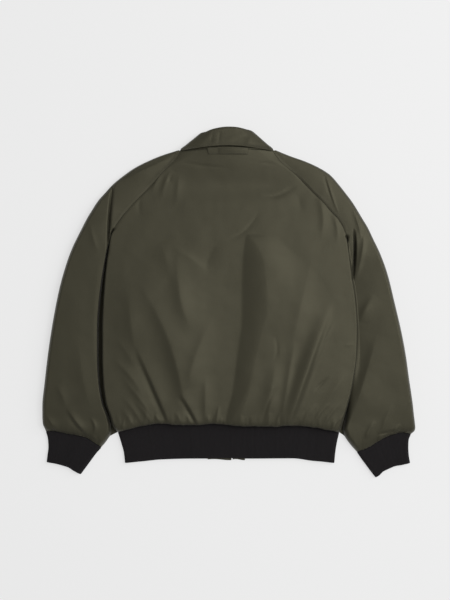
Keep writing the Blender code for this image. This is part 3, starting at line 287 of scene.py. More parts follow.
CUFF_EDGE = {"left": CUFF_EDGE_LEFT, "right": CUFF_EDGE_RIGHT}

# Knitted bands, from the seam (along 0) to the free edge (along 1).
Band = namedtuple("Band", "along inner_x inner_y outer_x outer_y")
HEM_BAND = table(Band, [
    (0, -243.5, -286, 244.5, -286), (0.33, -236.5, -308.5, 239.5, -308.5),
    (0.66, -230.5, -331.5, 236, -331.5), (1, -228, -354, 234, -354),
])
CUFF_LEFT = table(Band, [
    (0, -281, -320, -402, -284), (0.25, -293, -334, -398, -302), (0.5, -304, -349, -397, -319),
    (0.75, -315, -364, -399, -336), (1, -326, -379, -401, -352),
])
CUFF_RIGHT = table(Band, [
    (0, 284, -330, 402, -290), (0.25, 294, -345, 397.5, -305), (0.5, 304, -358.5, 397, -320),
    (0.75, 314, -372, 398, -337), (1, 325, -386, 401, -354),
])
CUFF = {"left": CUFF_LEFT, "right": CUFF_RIGHT}

# Ends of the collar's folded sides: at the neck seam and at the roll.
Corner = namedtuple("Corner", "x y")
NECK_CORNERS = {"left": Corner(-104.0, 332.5), "right": Corner(97.0, 332.5)}
ROLL_CORNERS = {"left": Corner(-60.0, 370.5), "right": Corner(50.0, 375.5)}

# Folds and gathers of the upper side: a curve through three points, the half width, the height
# (above zero for a ridge, below for a furrow), where along the curve it is greatest, how wide
# the side to the right of the curve is beside the left one, and the power that shapes the fall
# to either side: 1.5 for a crisp crest, 2 for a rounded one.
Fold = namedtuple("Fold", "x0 y0 xm ym x1 y1 width depth peak skew power", defaults=(1.0, 1.5))
FOLDS = table(Fold, [
    # small gathers along the hem seam, from left to right
    (-232, -286, -236, -266, -248, -240, 5, 1, 0.3),
    (-205, -286, -216, -256, -234, -232, 5, 1.5, 0.3, 1.6),
    (-180, -286, -204, -240, -234, -204, 6, 1.3, 0.4, 1.4),
    (-160, -284, -180, -246, -208, -212, 6, 1.5, 0.4, 1.4),
    (-146, -276, -153, -258, -162, -246, 3, 1.6, 0.4, 1.6),
    (-98, -286, -107, -256, -120, -238, 5, 1.6, 0.3, 1.4),
    (-76, -286, -84, -258, -94, -246, 4, 1.2, 0.3),
    (-38, -286, -42, -260, -46, -246, 3, 1.4, 0.3),
    (-28, -284, -25, -250, -20, -224, 3, 2, 0.35, 1.8),
    (-16, -286, -16, -262, -14, -250, 3, 1.2, 0.3),
    (22, -286, 26, -260, 32, -246, 5, 1.2, 0.3),
    (46, -286, 48, -262, 50, -246, 6, 1.2, 0.3),
    (88, -286, 90, -255, 92, -240, 4, 1.3, 0.3),
    (104, -286, 108, -256, 116, -238, 4, 1.3, 0.3),
    (142, -286, 152, -256, 166, -238, 4, 1.3, 0.3, 1.4),
    (158, -286, 170, -250, 196, -222, 5, 1.5, 0.4, 1.4),
    (178, -286, 198, -244, 226, -220, 5, 1.8, 0.4, 0.8),
    (200, -286, 222, -246, 256, -212, 5, 1.6, 0.4, 0.8),
    (222, -286, 236, -262, 254, -246, 4, 1.5, 0.4, 0.8),
    # folds that fan up from it
    (-164, -254, -198, -206, -234, -160, 7, 1.8, 0.5, 1.6),
    (-184, -210, -214, -162, -254, -122, 8, 1.7, 0.5, 1.6),
    (-198, -150, -222, -110, -246, -76, 8, 0.9, 0.5, 1.4),
    (-116, -294, -160, -192, -204, -90, 5, 3.6, 0.42, 5),
    (-123, -294, -166, -192, -205, -108, 9, -2.8, 0.4, 0.3),
    (-198, -140, -214, -30, -238, 122, 40, 3.8, 0.5, 3),
    (-198, -108, -214, -40, -214, 52, 10, 1.1, 0.4, 1.8),
    (-50, -296, -82, -236, -106, -196, 4, 3.6, 0.45, 5),
    (-57, -296, -88, -236, -110, -204, 7, -2.4, 0.45, 0.35),
    (-95, -238, -130, -84, -204, 58, 14, 5.2, 0.24, 3.2),
    (-84, -190, -74, -124, -34, -36, 13, 2.8, 0.45, 2),
    (-51, -286, -50.5, -214, -50, -158, 8, 2.2, 0.35, 1.6),
    (2, -292, 38, -216, 62, -124, 13, 2.2, 0.4, 1.8),
    (82, -294, 92, -206, 104, -130, 16, 4, 0.45, 1.4),
    (70, -280, 88, -218, 108, -184, 4, -1.3, 0.5, 1.2),
    (132, -120, 156, -20, 182, 100, 15, 1.8, 0.5, 1.4),
    (110, -292, 130, -170, 146, -84, 9, 2.2, 0.5, 0.9),
    (107, -330, 165, -168, 226, 6, 18, 6.8, 0.45, 0.5, 2),
    (108, -330, 165, -168, 227, 0, 24, 2, 0.45, 2.4),
    (186, -150, 208, -92, 232, -40, 4, 1.2, 0.5, 0.8),
    (206, -232, 232, -190, 260, -146, 12, 2.2, 0.5, 0.9),
    # short creases between them
    (99, -128, 106, -104, 101, -70, 3, -0.9, 0.5, 1.5),
    (187, -194, 203, -178, 220, -161, 2.8, -1.3, 0.5),
    (252, -92, 264, -93, 280, -91, 3, 0.5, 0.5),
    # troughs and swells of the back
    (-124, 119, -86, 99, -42, 64, 7, 1.2, 0.5, 2.6),
    (-80, -60, -106, 14, -110, 108, 17, 3.6, 0.45, 1.4),
    (-126, 50, -136, 96, -150, 132, 20, 2.2, 0.5, 1.2),
    (-44, 54, -42, 100, -10, 140, 16, -1.9, 0.4, 1.4),
    (-12, 138, 34, 156, 68, 204, 3, -0.9, 0.5, 2),
    (72, 238, 110, 236, 156, 264, 2.8, -1.2, 0.5, 2.4),
    (-128, 254, 10, 253, 150, 262, 27, -3, 0.5, 0.9, 2),
    (-130, 338, 0, 344, 130, 338, 42, 4.6, 0.5, 1, 2),
    (-112, 335, -80, 339, -44, 338, 3.5, -7, 0.5),
    (-104, 309, -60, 300, 8, 294, 3, -0.9, 0.4),
    (60, 303, 85, 305, 111, 300, 3, -0.7, 0.5),
    # wrinkles beside the raglan seams
    (-168, 236, -158, 266, -140, 292, 5, 1.2, 0.6, 1.4),
    (-146, 224, -140, 258, -124, 292, 6, 1.4, 0.6, 1.4),
    (-116, 206, -112, 246, -106, 286, 7, 1, 0.6, 1.4),
    (-128, 262, -128, 271, -122, 280, 4, -0.9, 0.5),
    (-190, 188, -196, 212, -190, 232, 5, -0.8, 0.5),
    (160, 196, 156, 218, 150, 244, 9, -0.8, 0.5),
    (202, 132, 207, 190, 196, 234, 8, 1.9, 0.6, 1.2),
    (236, 128, 238, 162, 228, 194, 5, 1.2, 0.6, 1.2),
    # the crease from the left shoulder down to the armpit
    (-264.5, 100, -261.5, 186, -251, 284, 1.4, -11, 0.45, 1.8),
    # the pressed overarm seam of the left sleeve, and the soft edge beside the body
    (-252, 257, -190, 288, -108, 325, 4, 1.6, 0.5, 4),
    (-290, -180, -294, -30, -276, 110, 14, 0.6, 0.5, 0.4),
    # folds of the right sleeve, from the shoulder down to the armpit
    (214, 282, 226, 236, 243, 190, 3, 1.2, 0.5),
    (208, 282, 218, 250, 232, 210, 3, -0.9, 0.5),
    (290, 138, 284, 172, 270, 208, 4.5, 1.8, 0.5, 0.8),
    (276, 40, 292, 106, 296, 150, 5, 2, 0.55, 1.2),
    (271.5, 44, 277, 110, 274, 162, 2.3, -14, 0.45, 1, 2),
    # sleeve gathers above the left cuff
    (-377, -284, -389, -264, -401, -243, 3.5, 1.8, 0.4, 2.4),
    (-302, -296, -331, -266, -354, -230, 3.2, 3.6, 0.45, 3.6),
    (-308, -294, -336, -267, -352, -238, 7, -1.6, 0.45, 0.4),
    (-300, -294, -293, -272, -304, -252, 2.6, 2.2, 0.5, 2.4),
    (-288, -307, -294, -298, -301, -292, 2.5, 1.6, 0.5),
    (-356, -232, -364, -204, -378, -178, 7, 1.4, 0.5, 1.6),
    (-300, -230, -318, -170, -330, -70, 16, 1.8, 0.5, 1.2),
    (-284, 108, -296, 142, -306, 180, 6, 0.9, 0.5),
    # sleeve gathers above the right cuff
    (300, -300, 308, -280, 322, -258, 4, 2.2, 0.35, 1.6),
    (322, -292, 348, -286, 384, -281, 3.5, -1.4, 0.5),
    (336, -286, 344, -256, 360, -222, 5, 1.4, 0.4, 1.6),
    (362, -284, 369, -275, 378, -266, 4, 1.6, 0.3),
    # long soft slopes down the right sleeve
    (268, -262, 298, -168, 326, -70, 11, 4.6, 0.45, 3.5),
    (288, -42, 300, -12, 318, 18, 8, 2, 0.45, 2),
    (284, -60, 296, -26, 322, 14, 10, 1.4, 0.5, 1.4),
])
COLLAR_FOLDS = table(Fold, [
    (-40, 342, -36, 360, -35, 378, 3, -0.6, 0.5),
    (-22, 342, -20, 360, -18, 380, 3, -0.6, 0.5),
    (38, 340, 46, 356, 48, 370, 5, 0.5, 0.5),
])
FOLD_STEPS = 12  # points along the curve
FOLD_REACH = 3.0  # half widths beyond which a fold isn't felt
FOLD_BLUNT = 0.6  # the lower, the blunter its two ends

# The long slope in the middle of the back: a valley at its left, a ridge at its right.
Slope = namedtuple("Slope", "y valley ridge rise")
TROUGH = table(Slope, [
    (150, 41, 43, 0),
    (140, 36, 53, 2.4),
    (120, 32.5, 65, 5.2),
    (92, 29, 77, 7.7),
    (20, 26, 84, 9.3),
    (-20, 26, 85, 9.3),
    (-46, 26, 79, 8.6),
    (-71, 23, 72, 7.9),
    (-115, 17, 61, 7.2),
    (-160, 12, 50, 6.5),
    (-203, 6, 35, 5.5),
    (-229, -1, 24, 4.8),
    (-248, -5, 15, 4),
    (-266, -9, 6, 2.9),
    (-286, -13, -1, 1.7),
])
TROUGH_SINK = 0.45  # share of its rise that lies below the cloth beside it
TROUGH_RUN_TOP = 60.0  # over which the cloth beside it levels off, at its top end
TROUGH_RUN = 140.0  # and further down
TROUGH_FOOT = 0.12  # share of the slope over which its foot is rounded
TROUGH_EVEN = 0.35  # share of its rise that is even; the rest is steepest at the foot

# How far in each side rounds over on top, the gap between the body and the sleeve beside it,
# and how low the sleeve comes down there.
Side = namedtuple("Side", "y body_left body_right sleeve_left sleeve_right gap_left gap_right "
                          "foot_left foot_right")
SIDE_ROWS = table(Side, [
    (332, 12, 8, 6, 6, 1.6, 1.6, 1.4, 1.4),
    (160, 5, 5, 2, 4, -1.6, -1.5, 28, 28.5),
    (138, 4, 5, 2, 4, -1, -2.2, 27, 29.5),
    (118, 4, 5, 1.5, 4, 1.2, -2.4, 16, 29.5),
    (88, 4, 5, 1.6, 4, 2.6, -2.6, 1.4, 30),
    (60, 4, 5, 2, 4, 4, -2.8, 1.4, 30.5),
    (42, 4, 5, 2.2, 4, 5, -2.8, 1.4, 30.5),
    (-60, 4, 5, 2.2, 5, 8.5, -2.8, 1.4, 29.5),
    (-130, 4, 5, 2.2, 10, 8.5, -2.6, 1.4, 26),
    (-200, 5, 5, 1.5, 14, 7, -1.8, 1.4, 19),
    (-240, 6, 6, 3, 13, 4.5, 1.2, 1.4, 8),
    (-264, 8, 8, 6, 10, 3, 3.6, 1.4, 1.4),
    (-286, 11, 11, 10, 12, 4, 4, 1.4, 1.4),
])

# ---- unevenness of the cloth ----
# Waves of random height: (height, size).
SOFTNESS = ((0.75, 85.0), (0.40, 38.0), (0.14, 17.0))
DENTS = ((1.0, 60.0), (0.6, 24.0))
DENT_START = 0.25  # only waves above this dent the cloth underneath
DENT_RUN = 1.1  # and waves this much higher dent it by the full depth
DENT_DEPTH = 1.1
FRONT_DENT_RUN = 14.0  # from a front's centre edge to dents of full depth
SLEEVE_DENT_RUN = 20.0  # and from where a sleeve's lower half is level
# Small gathers that run off a seam: (height, how much they change with the distance, size).
PUCKERS = ((1.4, 0.12, 8.0), (0.6, 0.2, 4.5))
PUCKER_REACH = 20.0
HEM_SCALLOP = 0.9  # how unevenly the gathers draw up the hem seam
SCALLOP_REACH = 7.0
SCALLOP_SIZE = 9.0
COLLAR_WAVES = ((0.5, 34.0), (0.2, 14.0))
ZIP_WAVE = (0.08, 30.0)
LOOP_WAVE = (0.15, 12.0)
HEM_END_WAVE = (0.35, 9.0)
HEM_END_UNDER_WAVE = (0.1, 9.0)
RIPPLE_CELLS = 60  # the random heights repeat after this many features
# A surface with several waves takes the seeds after its own too.
SEED = {"back": 3, "hem_puckers": 11, "hem_scallop": 13, "front_left": 21, "front_right": 27,
        "sleeve_left": 31, "sleeve_right": 37, "under_left": 41, "under_right": 47,
        "wales": 51, "knit": 53, "hem_end_top": 61, "hem_end_under": 62, "zip": 71,
        "collar": 81, "loop": 91}

# ---- how finely the cloth is made ----
PITCH = 2.2  # spacing of the grid on the cloth that shows
UNDER_PITCH = 4.0  # and on the cloth underneath
NEAR_SEAM = (0.0, 1.1, 2.3, 3.7, 5.3, 7.2, 9.4)  # closer rows beside a gathered seam
# Steps across a row: over its first edge, between the edges, over its last edge.
BACK_STEPS = (14, 244, 14)
FRONT_STEPS = (8, 62, 3)
SLEEVE_STEPS = (14, 90, 14)
SLEEVE_UNDER_STEPS = (7, 14, 7)
WRAP_STEPS = 8  # from the left sleeve's fold round to its overarm seam
CUFF_ROWS = 26
CUFF_TURN_STEPS = 40  # over a fold of the cuff
CUFF_FLAT_STEPS = 240  # between its folds
HEM_ROWS = 20
HEM_TURN_STEPS = 36
HEM_BACK_STEPS = 1100
HEM_FRONT_STEPS = 440  # from a fold to the centre front
HEM_END_GRID = (40, 36)  # columns and rows
ZIP_COLUMNS = 12  # in one tape
ZIP_ROWS = 240
COLLAR_FRONT_POINTS = 30
COLLAR_TURN_POINTS = 19
COLLAR_BACK_POINTS = 72
LOOP_GRID = (46, 14)

# ---- edges that turn in ----
ROLL_TURN = (0, 30, 60, 90, 120, 150, 180)  # degrees round the turn
ROLL_RUN_ON = (0.35, 0.7, 1.0)  # points where the cloth runs on inside, as shares of its length
SEAM_ROLL = 0.8  # radius at which cloth turns in at a seam
FLAT_ROLL = 0.22  # the same at a raglan seam, which is pressed flat
LIP_ROLL = 2.8  # and where gathered cloth bulges over a knitted band
BAND_ROLL = 1.5  # and at the free edge of a knitted band
HEM_LIP_RUN = 5.0  # how far the cloth runs on inside the lip over the hem band
CUFF_LIP_RUN = 4.0  # and over a cuff
HEM_RUN_IN = 14.0  # and inside the free edge of the hem band
CUFF_RUN_IN = 16.0
NECK_RUN_UNDER = 4.0  # how far the back runs on under the collar
RAGLAN_RUN_UNDER = 4.5  # and under the sleeves
# Rows of a band's seam allowance: (how far inside the shell, share of the lift there).
TUCK_ROWS = ((7.0, 1.0), (5.0, 0.9), (3.2, 0.66), (1.8, 0.32), (0.8, 0.1))
TUCK_UNDER = 0.02  # on the lower side the allowance is this share of that
HEM_TUCK_LIFT = 5.4  # the hem band's allowance rises by this much into the shell's edge
CUFF_TUCK_LIFT = -3.4  # a cuff's goes down, because the shell's edge is lower there

# ---- stitches and knit ----
STITCH_PITCH = 3.0  # a stitch and the space after it
STITCH_LENGTH = 2.3
STITCH_RADIUS = 0.35
STITCH_SHAPE = (0.3, 0.9, 1.0, 0.9, 0.3)  # its thickness along its length
STITCH_SIDES = 6
STITCH_RISE = 0.2  # its middle stands off the cloth by this much
STITCH_INSETS = (1.6, 7.0)  # two rows beside a sleeve seam
RAGLAN_STITCH_START = 14.0  # they start this far above the armpit
RAGLAN_STITCH_END = 3.0  # and end this far below the neck
COLLAR_STITCH = 5.5  # from the edge of the fall
COLLAR_STITCH_START = 36  # steps of the collar without stitches at either end
LOOP_STITCH = 1.8
KNIT_PITCH = 2.7  # one wale and one furrow of the ribs
KNIT_DEPTH = 0.65
WALE_WAVE = (0.25, 2 * KNIT_PITCH)  # the wales differ a little in height
KNIT_WAVE = (0.5, 16.0)  # and the knit is drawn up unevenly
KNIT_STRETCH = 0.12  # change of that unevenness along the wales beside that across them
KNIT_ROUND = 0.7  # the lower, the rounder the wales and the sharper the furrows

# ---- colours, light and camera ----
SHELL_GLINT = (1.0, 0.94, 0.66, 1.0)
SHELL_DARK = (0.0305, 0.0285, 0.0190, 1.0)
SHELL_LIGHT = (0.0385, 0.0365, 0.0245, 1.0)
RIB_COLOUR = (0.0103, 0.0088, 0.0096, 1.0)
ZIP_COLOUR = (0.020, 0.020, 0.017, 1.0)
# The thread is lighter than the shell cloth: partly its own colour, partly a painted highlight along the
# pressed seams.
THREAD_AND_HIGHLIGHT_COLOUR = (0.050, 0.048, 0.034, 1.0)
FLOOR_COLOUR = (0.26, 0.26, 0.26, 1.0)
FLOOR_GLOW = 0.63
FLOOR_HALF = 4.0  # metres
WHITE = (1.0, 1.0, 1.0, 1.0)
WORLD_STRENGTH = 0.288
# Square lamps that look at the jacket's middle: name, place and size in metres, power in watts.
LAMPS = (("overhead", (1.72, 0.63, 3.68), 1.95, 88.0), ("side", (3.9, 1.95, 2.85), 2.1, 52.5))
CAMERA_PLACE = (-0.0075, 0.0055, 3.132)
CAMERA_LENS = 85.0
CAMERA_SENSOR = 36.0


# ---- curves ----
def ease(value):
    """Smooth step from 0 to 1."""
    value = np.clip(value, 0.0, 1.0)
    return value * value * (3.0 - 2.0 * value)


def smooth(xs, ys, at):
    """Read a smooth curve through points, with no overshoot between them."""
    xs = np.asarray(xs, float)
    ys = np.asarray(ys, float)
    if xs[0] > xs[-1]:
        xs = xs[::-1]
        ys = ys[::-1]
    at = np.clip(np.asarray(at, float), xs[0], xs[-1])
    step = np.diff(xs)
    slope = np.diff(ys) / step
    tangent = np.zeros(len(xs))
    tangent[0] = slope[0]
    tangent[-1] = slope[-1]
    same = slope[:-1] * slope[1:] > 0
    mean = 2.0 * slope[:-1] * slope[1:] / np.where(same, slope[:-1] + slope[1:], 1.0)
    tangent[1:-1] = np.where(same, mean, 0.0)
    i = np.clip(np.searchsorted(xs, at) - 1, 0, len(step) - 1)
    t = (at - xs[i]) / step[i]
    start = (1 + 2 * t) * (1 - t) ** 2 * ys[i] + t * (1 - t) ** 2 * step[i] * tangent[i]
    end = t * t * (3 - 2 * t) * ys[i + 1] + t * t * (t - 1) * step[i] * tangent[i + 1]
    return start + end


def read(rows, name, at):
    """Read a column of a table at a value of its key."""
    return smooth([row[0] for row in rows], [getattr(row, name) for row in rows], at)


def curve(start, control, end, t):
    """Quadratic curve from start to end, read at t."""
    return (1 - t) ** 2 * start + 2 * t * (1 - t) * control + t * t * end


def unit(vectors):
    return vectors / np.maximum(np.linalg.norm(vectors, axis=-1, keepdims=True), 1e-9)


def distance_along(line):
    """How far along a line of points each of them lies."""
    return np.concatenate([[0.0], np.cumsum(np.linalg.norm(np.diff(line, axis=0), axis=1))])


# ---- relief of the cloth ----
def fold_height(folds, x, y):
    """Sum of a table's folds at the points x, y."""
    total = np.zeros(np.shape(x))
    steps = np.linspace(0.0, 1.0, FOLD_STEPS)
    for fold in folds:
        start, middle, end = np.array(fold[:6], float).reshape(3, 2)
        line = curve(start, 2.0 * middle - 0.5 * (start + end), end, steps[:, None])
        reach = FOLD_REACH * fold.width * max(fold.skew, 1.0)
        low = line.min(axis=0) - reach
        high = line.max(axis=0) + reach
        near = (x > low[0]) & (x < high[0]) & (y > low[1]) & (y < high[1])
        if not near.any():
            continue
        px = x[near]
        py = y[near]
        nearest = np.full(px.shape, 1e9)
        along = np.zeros(px.shape)
        beside = np.zeros(px.shape)
        for k in range(FOLD_STEPS - 1):
            run = line[k + 1] - line[k]
            part = np.clip(((px - line[k, 0]) * run[0] + (py - line[k, 1]) * run[1]) / (run @ run), 0, 1)
            dx = px - line[k, 0] - part * run[0]
            dy = py - line[k, 1] - part * run[1]
            far = np.hypot(dx, dy)
            closer = far < nearest
            along = np.where(closer, (k + part) / (FOLD_STEPS - 1), along)
            beside = np.where(closer, np.sign(dx * run[1] - dy * run[0]), beside)
            nearest = np.minimum(nearest, far)
        before = ease(along / fold.peak)
        after = ease((1.0 - along) / (1.0 - fold.peak))
        across = nearest / (fold.width * np.where(beside > 0, fold.skew, 1.0))
        total[near] += fold.depth * np.minimum(before, after) ** FOLD_BLUNT * np.exp(-across ** fold.power)
    return total


def trough_height(x, y):
    """The long slope of the back, with a crisp line at either side."""
    valley = read(TROUGH, "valley", y)
    ridge = read(TROUGH, "ridge", y)
    open_share = ease((TROUGH[0].y - y) / TROUGH_RUN)
    run = TROUGH_RUN_TOP + (TROUGH_RUN - TROUGH_RUN_TOP) * open_share
    sink = TROUGH_SINK * open_share
    inside = np.clip((x - valley) / (ridge - valley), 0.0, 1.0)
    foot = inside ** 2 / (2 * TROUGH_FOOT)
    inside = np.where(inside < TROUGH_FOOT, foot, inside - TROUGH_FOOT / 2) / (1.0 - TROUGH_FOOT / 2)
    between = TROUGH_EVEN * inside + (1.0 - TROUGH_EVEN) * np.sin(inside * math.pi / 2) - sink
    before = -sink * (1.0 - ease((valley - x) / run))
    after = (1.0 - sink) * (1.0 - ease((x - ridge) / run))
    part = np.where(x < valley, before, np.where(x > ridge, after, between))
    return read(TROUGH, "rise", y) * part


def ripple(x, y, size, seed):
    """Smooth random height between -1 and 1, with features of about the given size."""
    lattice = np.random.default_rng(seed).uniform(-1.0, 1.0, (RIPPLE_CELLS, RIPPLE_CELLS))
    lattice = np.pad(lattice, (0, 1), mode="wrap")
    turn = 0.5 + seed
    u = (x * math.cos(turn) - y * math.sin(turn)) / size
    v = (x * math.sin(turn) + y * math.cos(turn)) / size
    i = np.floor(u).astype(int)
    j = np.floor(v).astype(int)
    s = ease(u - i)
    t = ease(v - j)
    i = i % RIPPLE_CELLS
    j = j % RIPPLE_CELLS
    near = lattice[i, j] * (1 - t) + lattice[i, j + 1] * t
    far = lattice[i + 1, j] * (1 - t) + lattice[i + 1, j + 1] * t
    return near * (1 - s) + far * s


def wave(layer, x, y, seed):
    """Random waves of one height and size."""
    height, size = layer
    return height * ripple(x, y, size, seed)


def waves(layers, x, y, seed):
    return sum(wave(layer, x, y, seed + i) for i, layer in enumerate(layers))


def puckers(distance, along, seed):
    """Small gathers that run off a seam: distance from it, and place along it."""
    near = np.exp(-(distance / PUCKER_REACH) ** 1.5)
    return near * sum(height * ripple(along, distance * change, size, seed + i)
                      for i, (height, change, size) in enumerate(PUCKERS))


def dents(x, y, seed):
    """Shallow creases of the cloth underneath: the rest of it lies flat on the floor."""
    return DENT_DEPTH * ease((waves(DENTS, x, y, seed) - DENT_START) / DENT_RUN)


# ---- surfaces of a flattened tube ----
class Tube:
    """Rows of a flattened tube of cloth, each from an edge A to an edge B.

    Each value but the last is a pair, for edge A and edge B.  ends: the edge points of the
    rows; heights: the heights of the edges; seams: 1 where the edge is a seam that the next
    panel continues, 0 where the cloth folds round; rounds: how far in from the edge the
    surface levels off.  crown: the height between the edges.
    """

    def __init__(self, ends, heights, seams, rounds, crown):
        self.ends = ends
        self.heights = [height[:, None] for height in heights]
        self.seams = [seam[:, None] for seam in seams]
        self.run = ends[1] - ends[0]
        self.width = np.hypot(self.run[:, 0], self.run[:, 1])[:, None]
        self.rounds = [np.minimum(rounding[:, None], limit * self.width)
                       for rounding, limit in zip(rounds, ROUND_LIMIT)]
        self.crown = crown[:, None]

    def points(self, at, bow_y, dome):
        """Grid of points.  Stations run from -1 to 0 over edge A, 0 to 1 between, 1 to 2 over B.

        They are one list for all rows, or a list for each row.
        """
        q = np.atleast_2d(np.asarray(at, float))
        flat = np.clip(q, 0.0, 1.0)
        turns = (np.clip(q + 1.0, 0.0, 1.0), np.clip(2.0 - q, 0.0, 1.0))
        reach = [(1.0 - seam) * (1.0 - np.cos(turn * math.pi / 2)) + seam * turn
                 for turn, seam in zip(turns, self.seams)]
        round_a, round_b = self.rounds
        across = round_a * reach[0] + (self.width - round_a - round_b) * flat
        across = np.where(q > 1.0, self.width - round_b * reach[1], across)
        share = across / self.width
        x = self.ends[0][:, 0:1] + self.run[:, 0:1] * share
        y = self.ends[0][:, 1:2] + self.run[:, 1:2] * share
        y = y + bow_y(share)
        lift = np.sin(turns[0] * math.pi / 2) * np.sin(turns[1] * math.pi / 2)
        edge = np.where(q < 0.5, *self.heights)
        dome = dome * np.minimum(self.width / DOME_WIDTH, 1.0)
        crown = self.crown + dome * np.sin(math.pi * flat)
        z = edge + (crown - edge) * lift
        seam_share = np.where(q < 0.5, *self.seams)
        weight = seam_share + (1.0 - seam_share) * lift ** 2
        self.from_a = across
        self.from_b = self.width - across
        return x, y, z, weight

    def pinch(self):
        """How much the seams at the two edges draw the cloth down, at the points last made."""
        return (self.seams[0] * np.exp(-self.from_a / PINCH_REACH)
                + self.seams[1] * np.exp(-self.from_b / PINCH_REACH)) * PINCH_DEPTH


def stations(over_a, flat, over_b):
    """Station list: steps over edge A, between the edges, and over edge B."""
    first = list(np.linspace(-1.0, 0.0, over_a + 1))
    middle = list(np.linspace(0.0, 1.0, flat + 1))[1:]
    last = list(np.linspace(1.0, 2.0, over_b + 1))[1:]
    return first + middle + last


def rows_from(start, end, pitch):
    """Rows that are closer together beside the gathered seam at the start."""
    first = start + np.array(NEAR_SEAM)
    count = int(round((end - first[-1]) / pitch))
    return np.concatenate([first[:-1], np.linspace(first[-1], end, count + 1)])


def grid_normals(points, ring=False):
    """Unit normals of a grid; rows run along axis 0."""
    along = np.gradient(points, axis=0)
    if ring:
        wrapped = np.concatenate([points[:, -1:], points, points[:, :1]], axis=1)
        across = (wrapped[:, 2:] - wrapped[:, :-2]) / 2.0
    else:
        across = np.gradient(points, axis=1)
    return unit(np.cross(across, along))


def roll(grid, edge, radius, back=0.0, facing=1.0, ring=False, under=0.0, share=None):
    """Turn one edge of a grid round a small radius, to the side away from its face.

    edge: "start" or "end" of the rows, "left" or "right" of the columns; back: how far the
    cloth runs on inside after the turn; facing: 1 if the grid's own normals look outwards.
    Where share is 1 the seam allowance runs on under the neighbour instead, by under.
    """
    if edge in SIDES:
        turned = roll(np.swapaxes(grid, 0, 1), "start" if edge == "left" else "end", radius, back,
                      -facing, False, under, share)
        return np.swapaxes(turned, 0, 1)
    lines = grid if edge == "end" else grid[::-1]
    normal = grid_normals(grid, ring)[-1 if edge == "end" else 0] * facing
    out = unit(lines[-1] - lines[-2])
    centre = lines[-1] - radius * out - radius * normal
    turned = [centre + radius * (math.sin(angle) * out + math.cos(angle) * normal)
              for angle in np.radians(ROLL_TURN)]
    turned += [turned[-1] - out * back * step for step in ROLL_RUN_ON if back > 0]
    turned = np.array(turned)
    if share is not None:
        quarter = len(ROLL_TURN) // 2
        steps = np.linspace(0.0, 1.0, len(turned) - quarter)[1:, None, None]
        beneath = turned[quarter] + under * steps * out - 1.5 * radius * ease(2.5 * steps) * normal
        late = turned[quarter + 1:]
        turned[quarter + 1:] = late + (beneath - late) * share[:, None]
    turned = np.concatenate([lines[:-1], turned], axis=0)
    return turned if edge == "end" else turned[::-1]


# ---- meshes ----
def cloth_places(grid):
    """Place of each point on the flat cloth, in millimetres: across it and along it."""
    steps = np.linalg.norm(np.diff(grid, axis=1), axis=2)
    across = np.concatenate([np.zeros((len(grid), 1)), np.cumsum(steps, axis=1)], axis=1)
    across -= across[:, grid.shape[1] // 2, None]
    steps = np.linalg.norm(np.diff(grid, axis=0), axis=2).mean(axis=1)
    along = np.concatenate([[0.0], np.cumsum(steps)])
    return np.stack([across, np.broadcast_to(along[:, None], across.shape), 0 * across], axis=2)


def add_piece(name, points, quads, look, nodes=(), places=None, rounded=True):
    """A mesh of quads through points in millimetres, as a piece of the jacket."""
    mesh = bpy.data.meshes.new(name)
    mesh.from_pydata((points.reshape(-1, 3) * MM).tolist(), [], quads.reshape(-1, 4).tolist())
    if rounded:
        mesh.shade_smooth()
    if places is not None:
        attribute = mesh.attributes.new("cloth", "FLOAT_VECTOR", "POINT")
        attribute.data.foreach_set("vector", places.astype(np.float32).ravel())
    mesh.materials.append(look)
    piece = bpy.data.objects.new(name, mesh)
    bpy.context.scene.collection.objects.link(piece)
    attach(piece, "root")
    if nodes:
        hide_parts(*nodes)
    return piece


def sheet(name, grid, look, node, ring=False, flip=False, places=None):
    """A sheet of cloth through a grid of points in millimetres, in place of a node."""
    rows, cols = grid.shape[:2]
    index = np.arange(rows * cols).reshape(rows, cols)
    if ring:
        index = np.concatenate([index, index[:, :1]], axis=1)
    quads = np.stack([index[:-1, :-1], index[:-1, 1:], index[1:, 1:], index[1:, :-1]], axis=2)
    if flip:
        quads = quads[..., ::-1]
    places = cloth_places(grid) if places is None else places
    return add_piece(name, grid, quads, look, [node], places)


# ---- materials ----
def add(tree, kind, inputs=None, **settings):
    """A shader node, with its inputs linked or set."""
    node = tree.nodes.new(kind)
    for key, value in settings.items():
        setattr(node, key, value)
    for key, value in (inputs or {}).items():
        if isinstance(value, bpy.types.NodeSocket):
            tree.links.new(value, node.inputs[key])
        else:
            node.inputs[key].default_value = value
    return node


def maths(tree, operation, first, second=0.0):
    return add(tree, "ShaderNodeMath", {0: first, 1: second}, operation=operation).outputs[0]


def noise(tree, place, scale, detail=2.0):
    inputs = {"Vector": place, "Scale": scale, "Detail": detail}
    return add(tree, "ShaderNodeTexNoise", inputs).outputs[0]


def bands(tree, place, scale, direction, distortion=0.0):
    inputs = {"Vector": place, "Scale": scale, "Distortion": distortion}
    return add(tree, "ShaderNodeTexWave", inputs, wave_type="BANDS",
               bands_direction=direction).outputs["Fac"]


def cloth_place(tree):
    """Place on the flat cloth, in millimetres."""
    return add(tree, "ShaderNodeAttribute", attribute_name="cloth").outputs["Vector"]


def space_place(tree):
    """Place in space, in metres."""
    return add(tree, "ShaderNodeTexCoord").outputs["Object"]


def plain(name, colour, roughness, sheen, specular):
    """A new material and its shader, with the values that are the same all over."""
    look = bpy.data.materials.new(name)
    look.use_nodes = True
    shader = look.node_tree.nodes["Principled BSDF"]
    shader.inputs["Base Color"].default_value = colour
    shader.inputs["Roughness"].default_value = roughness
    shader.inputs["Sheen Weight"].default_value = sheen
    shader.inputs["Sheen Roughness"].default_value = 0.45
    shader.inputs["Specular IOR Level"].default_value = specular
    return look, look.node_tree, shader


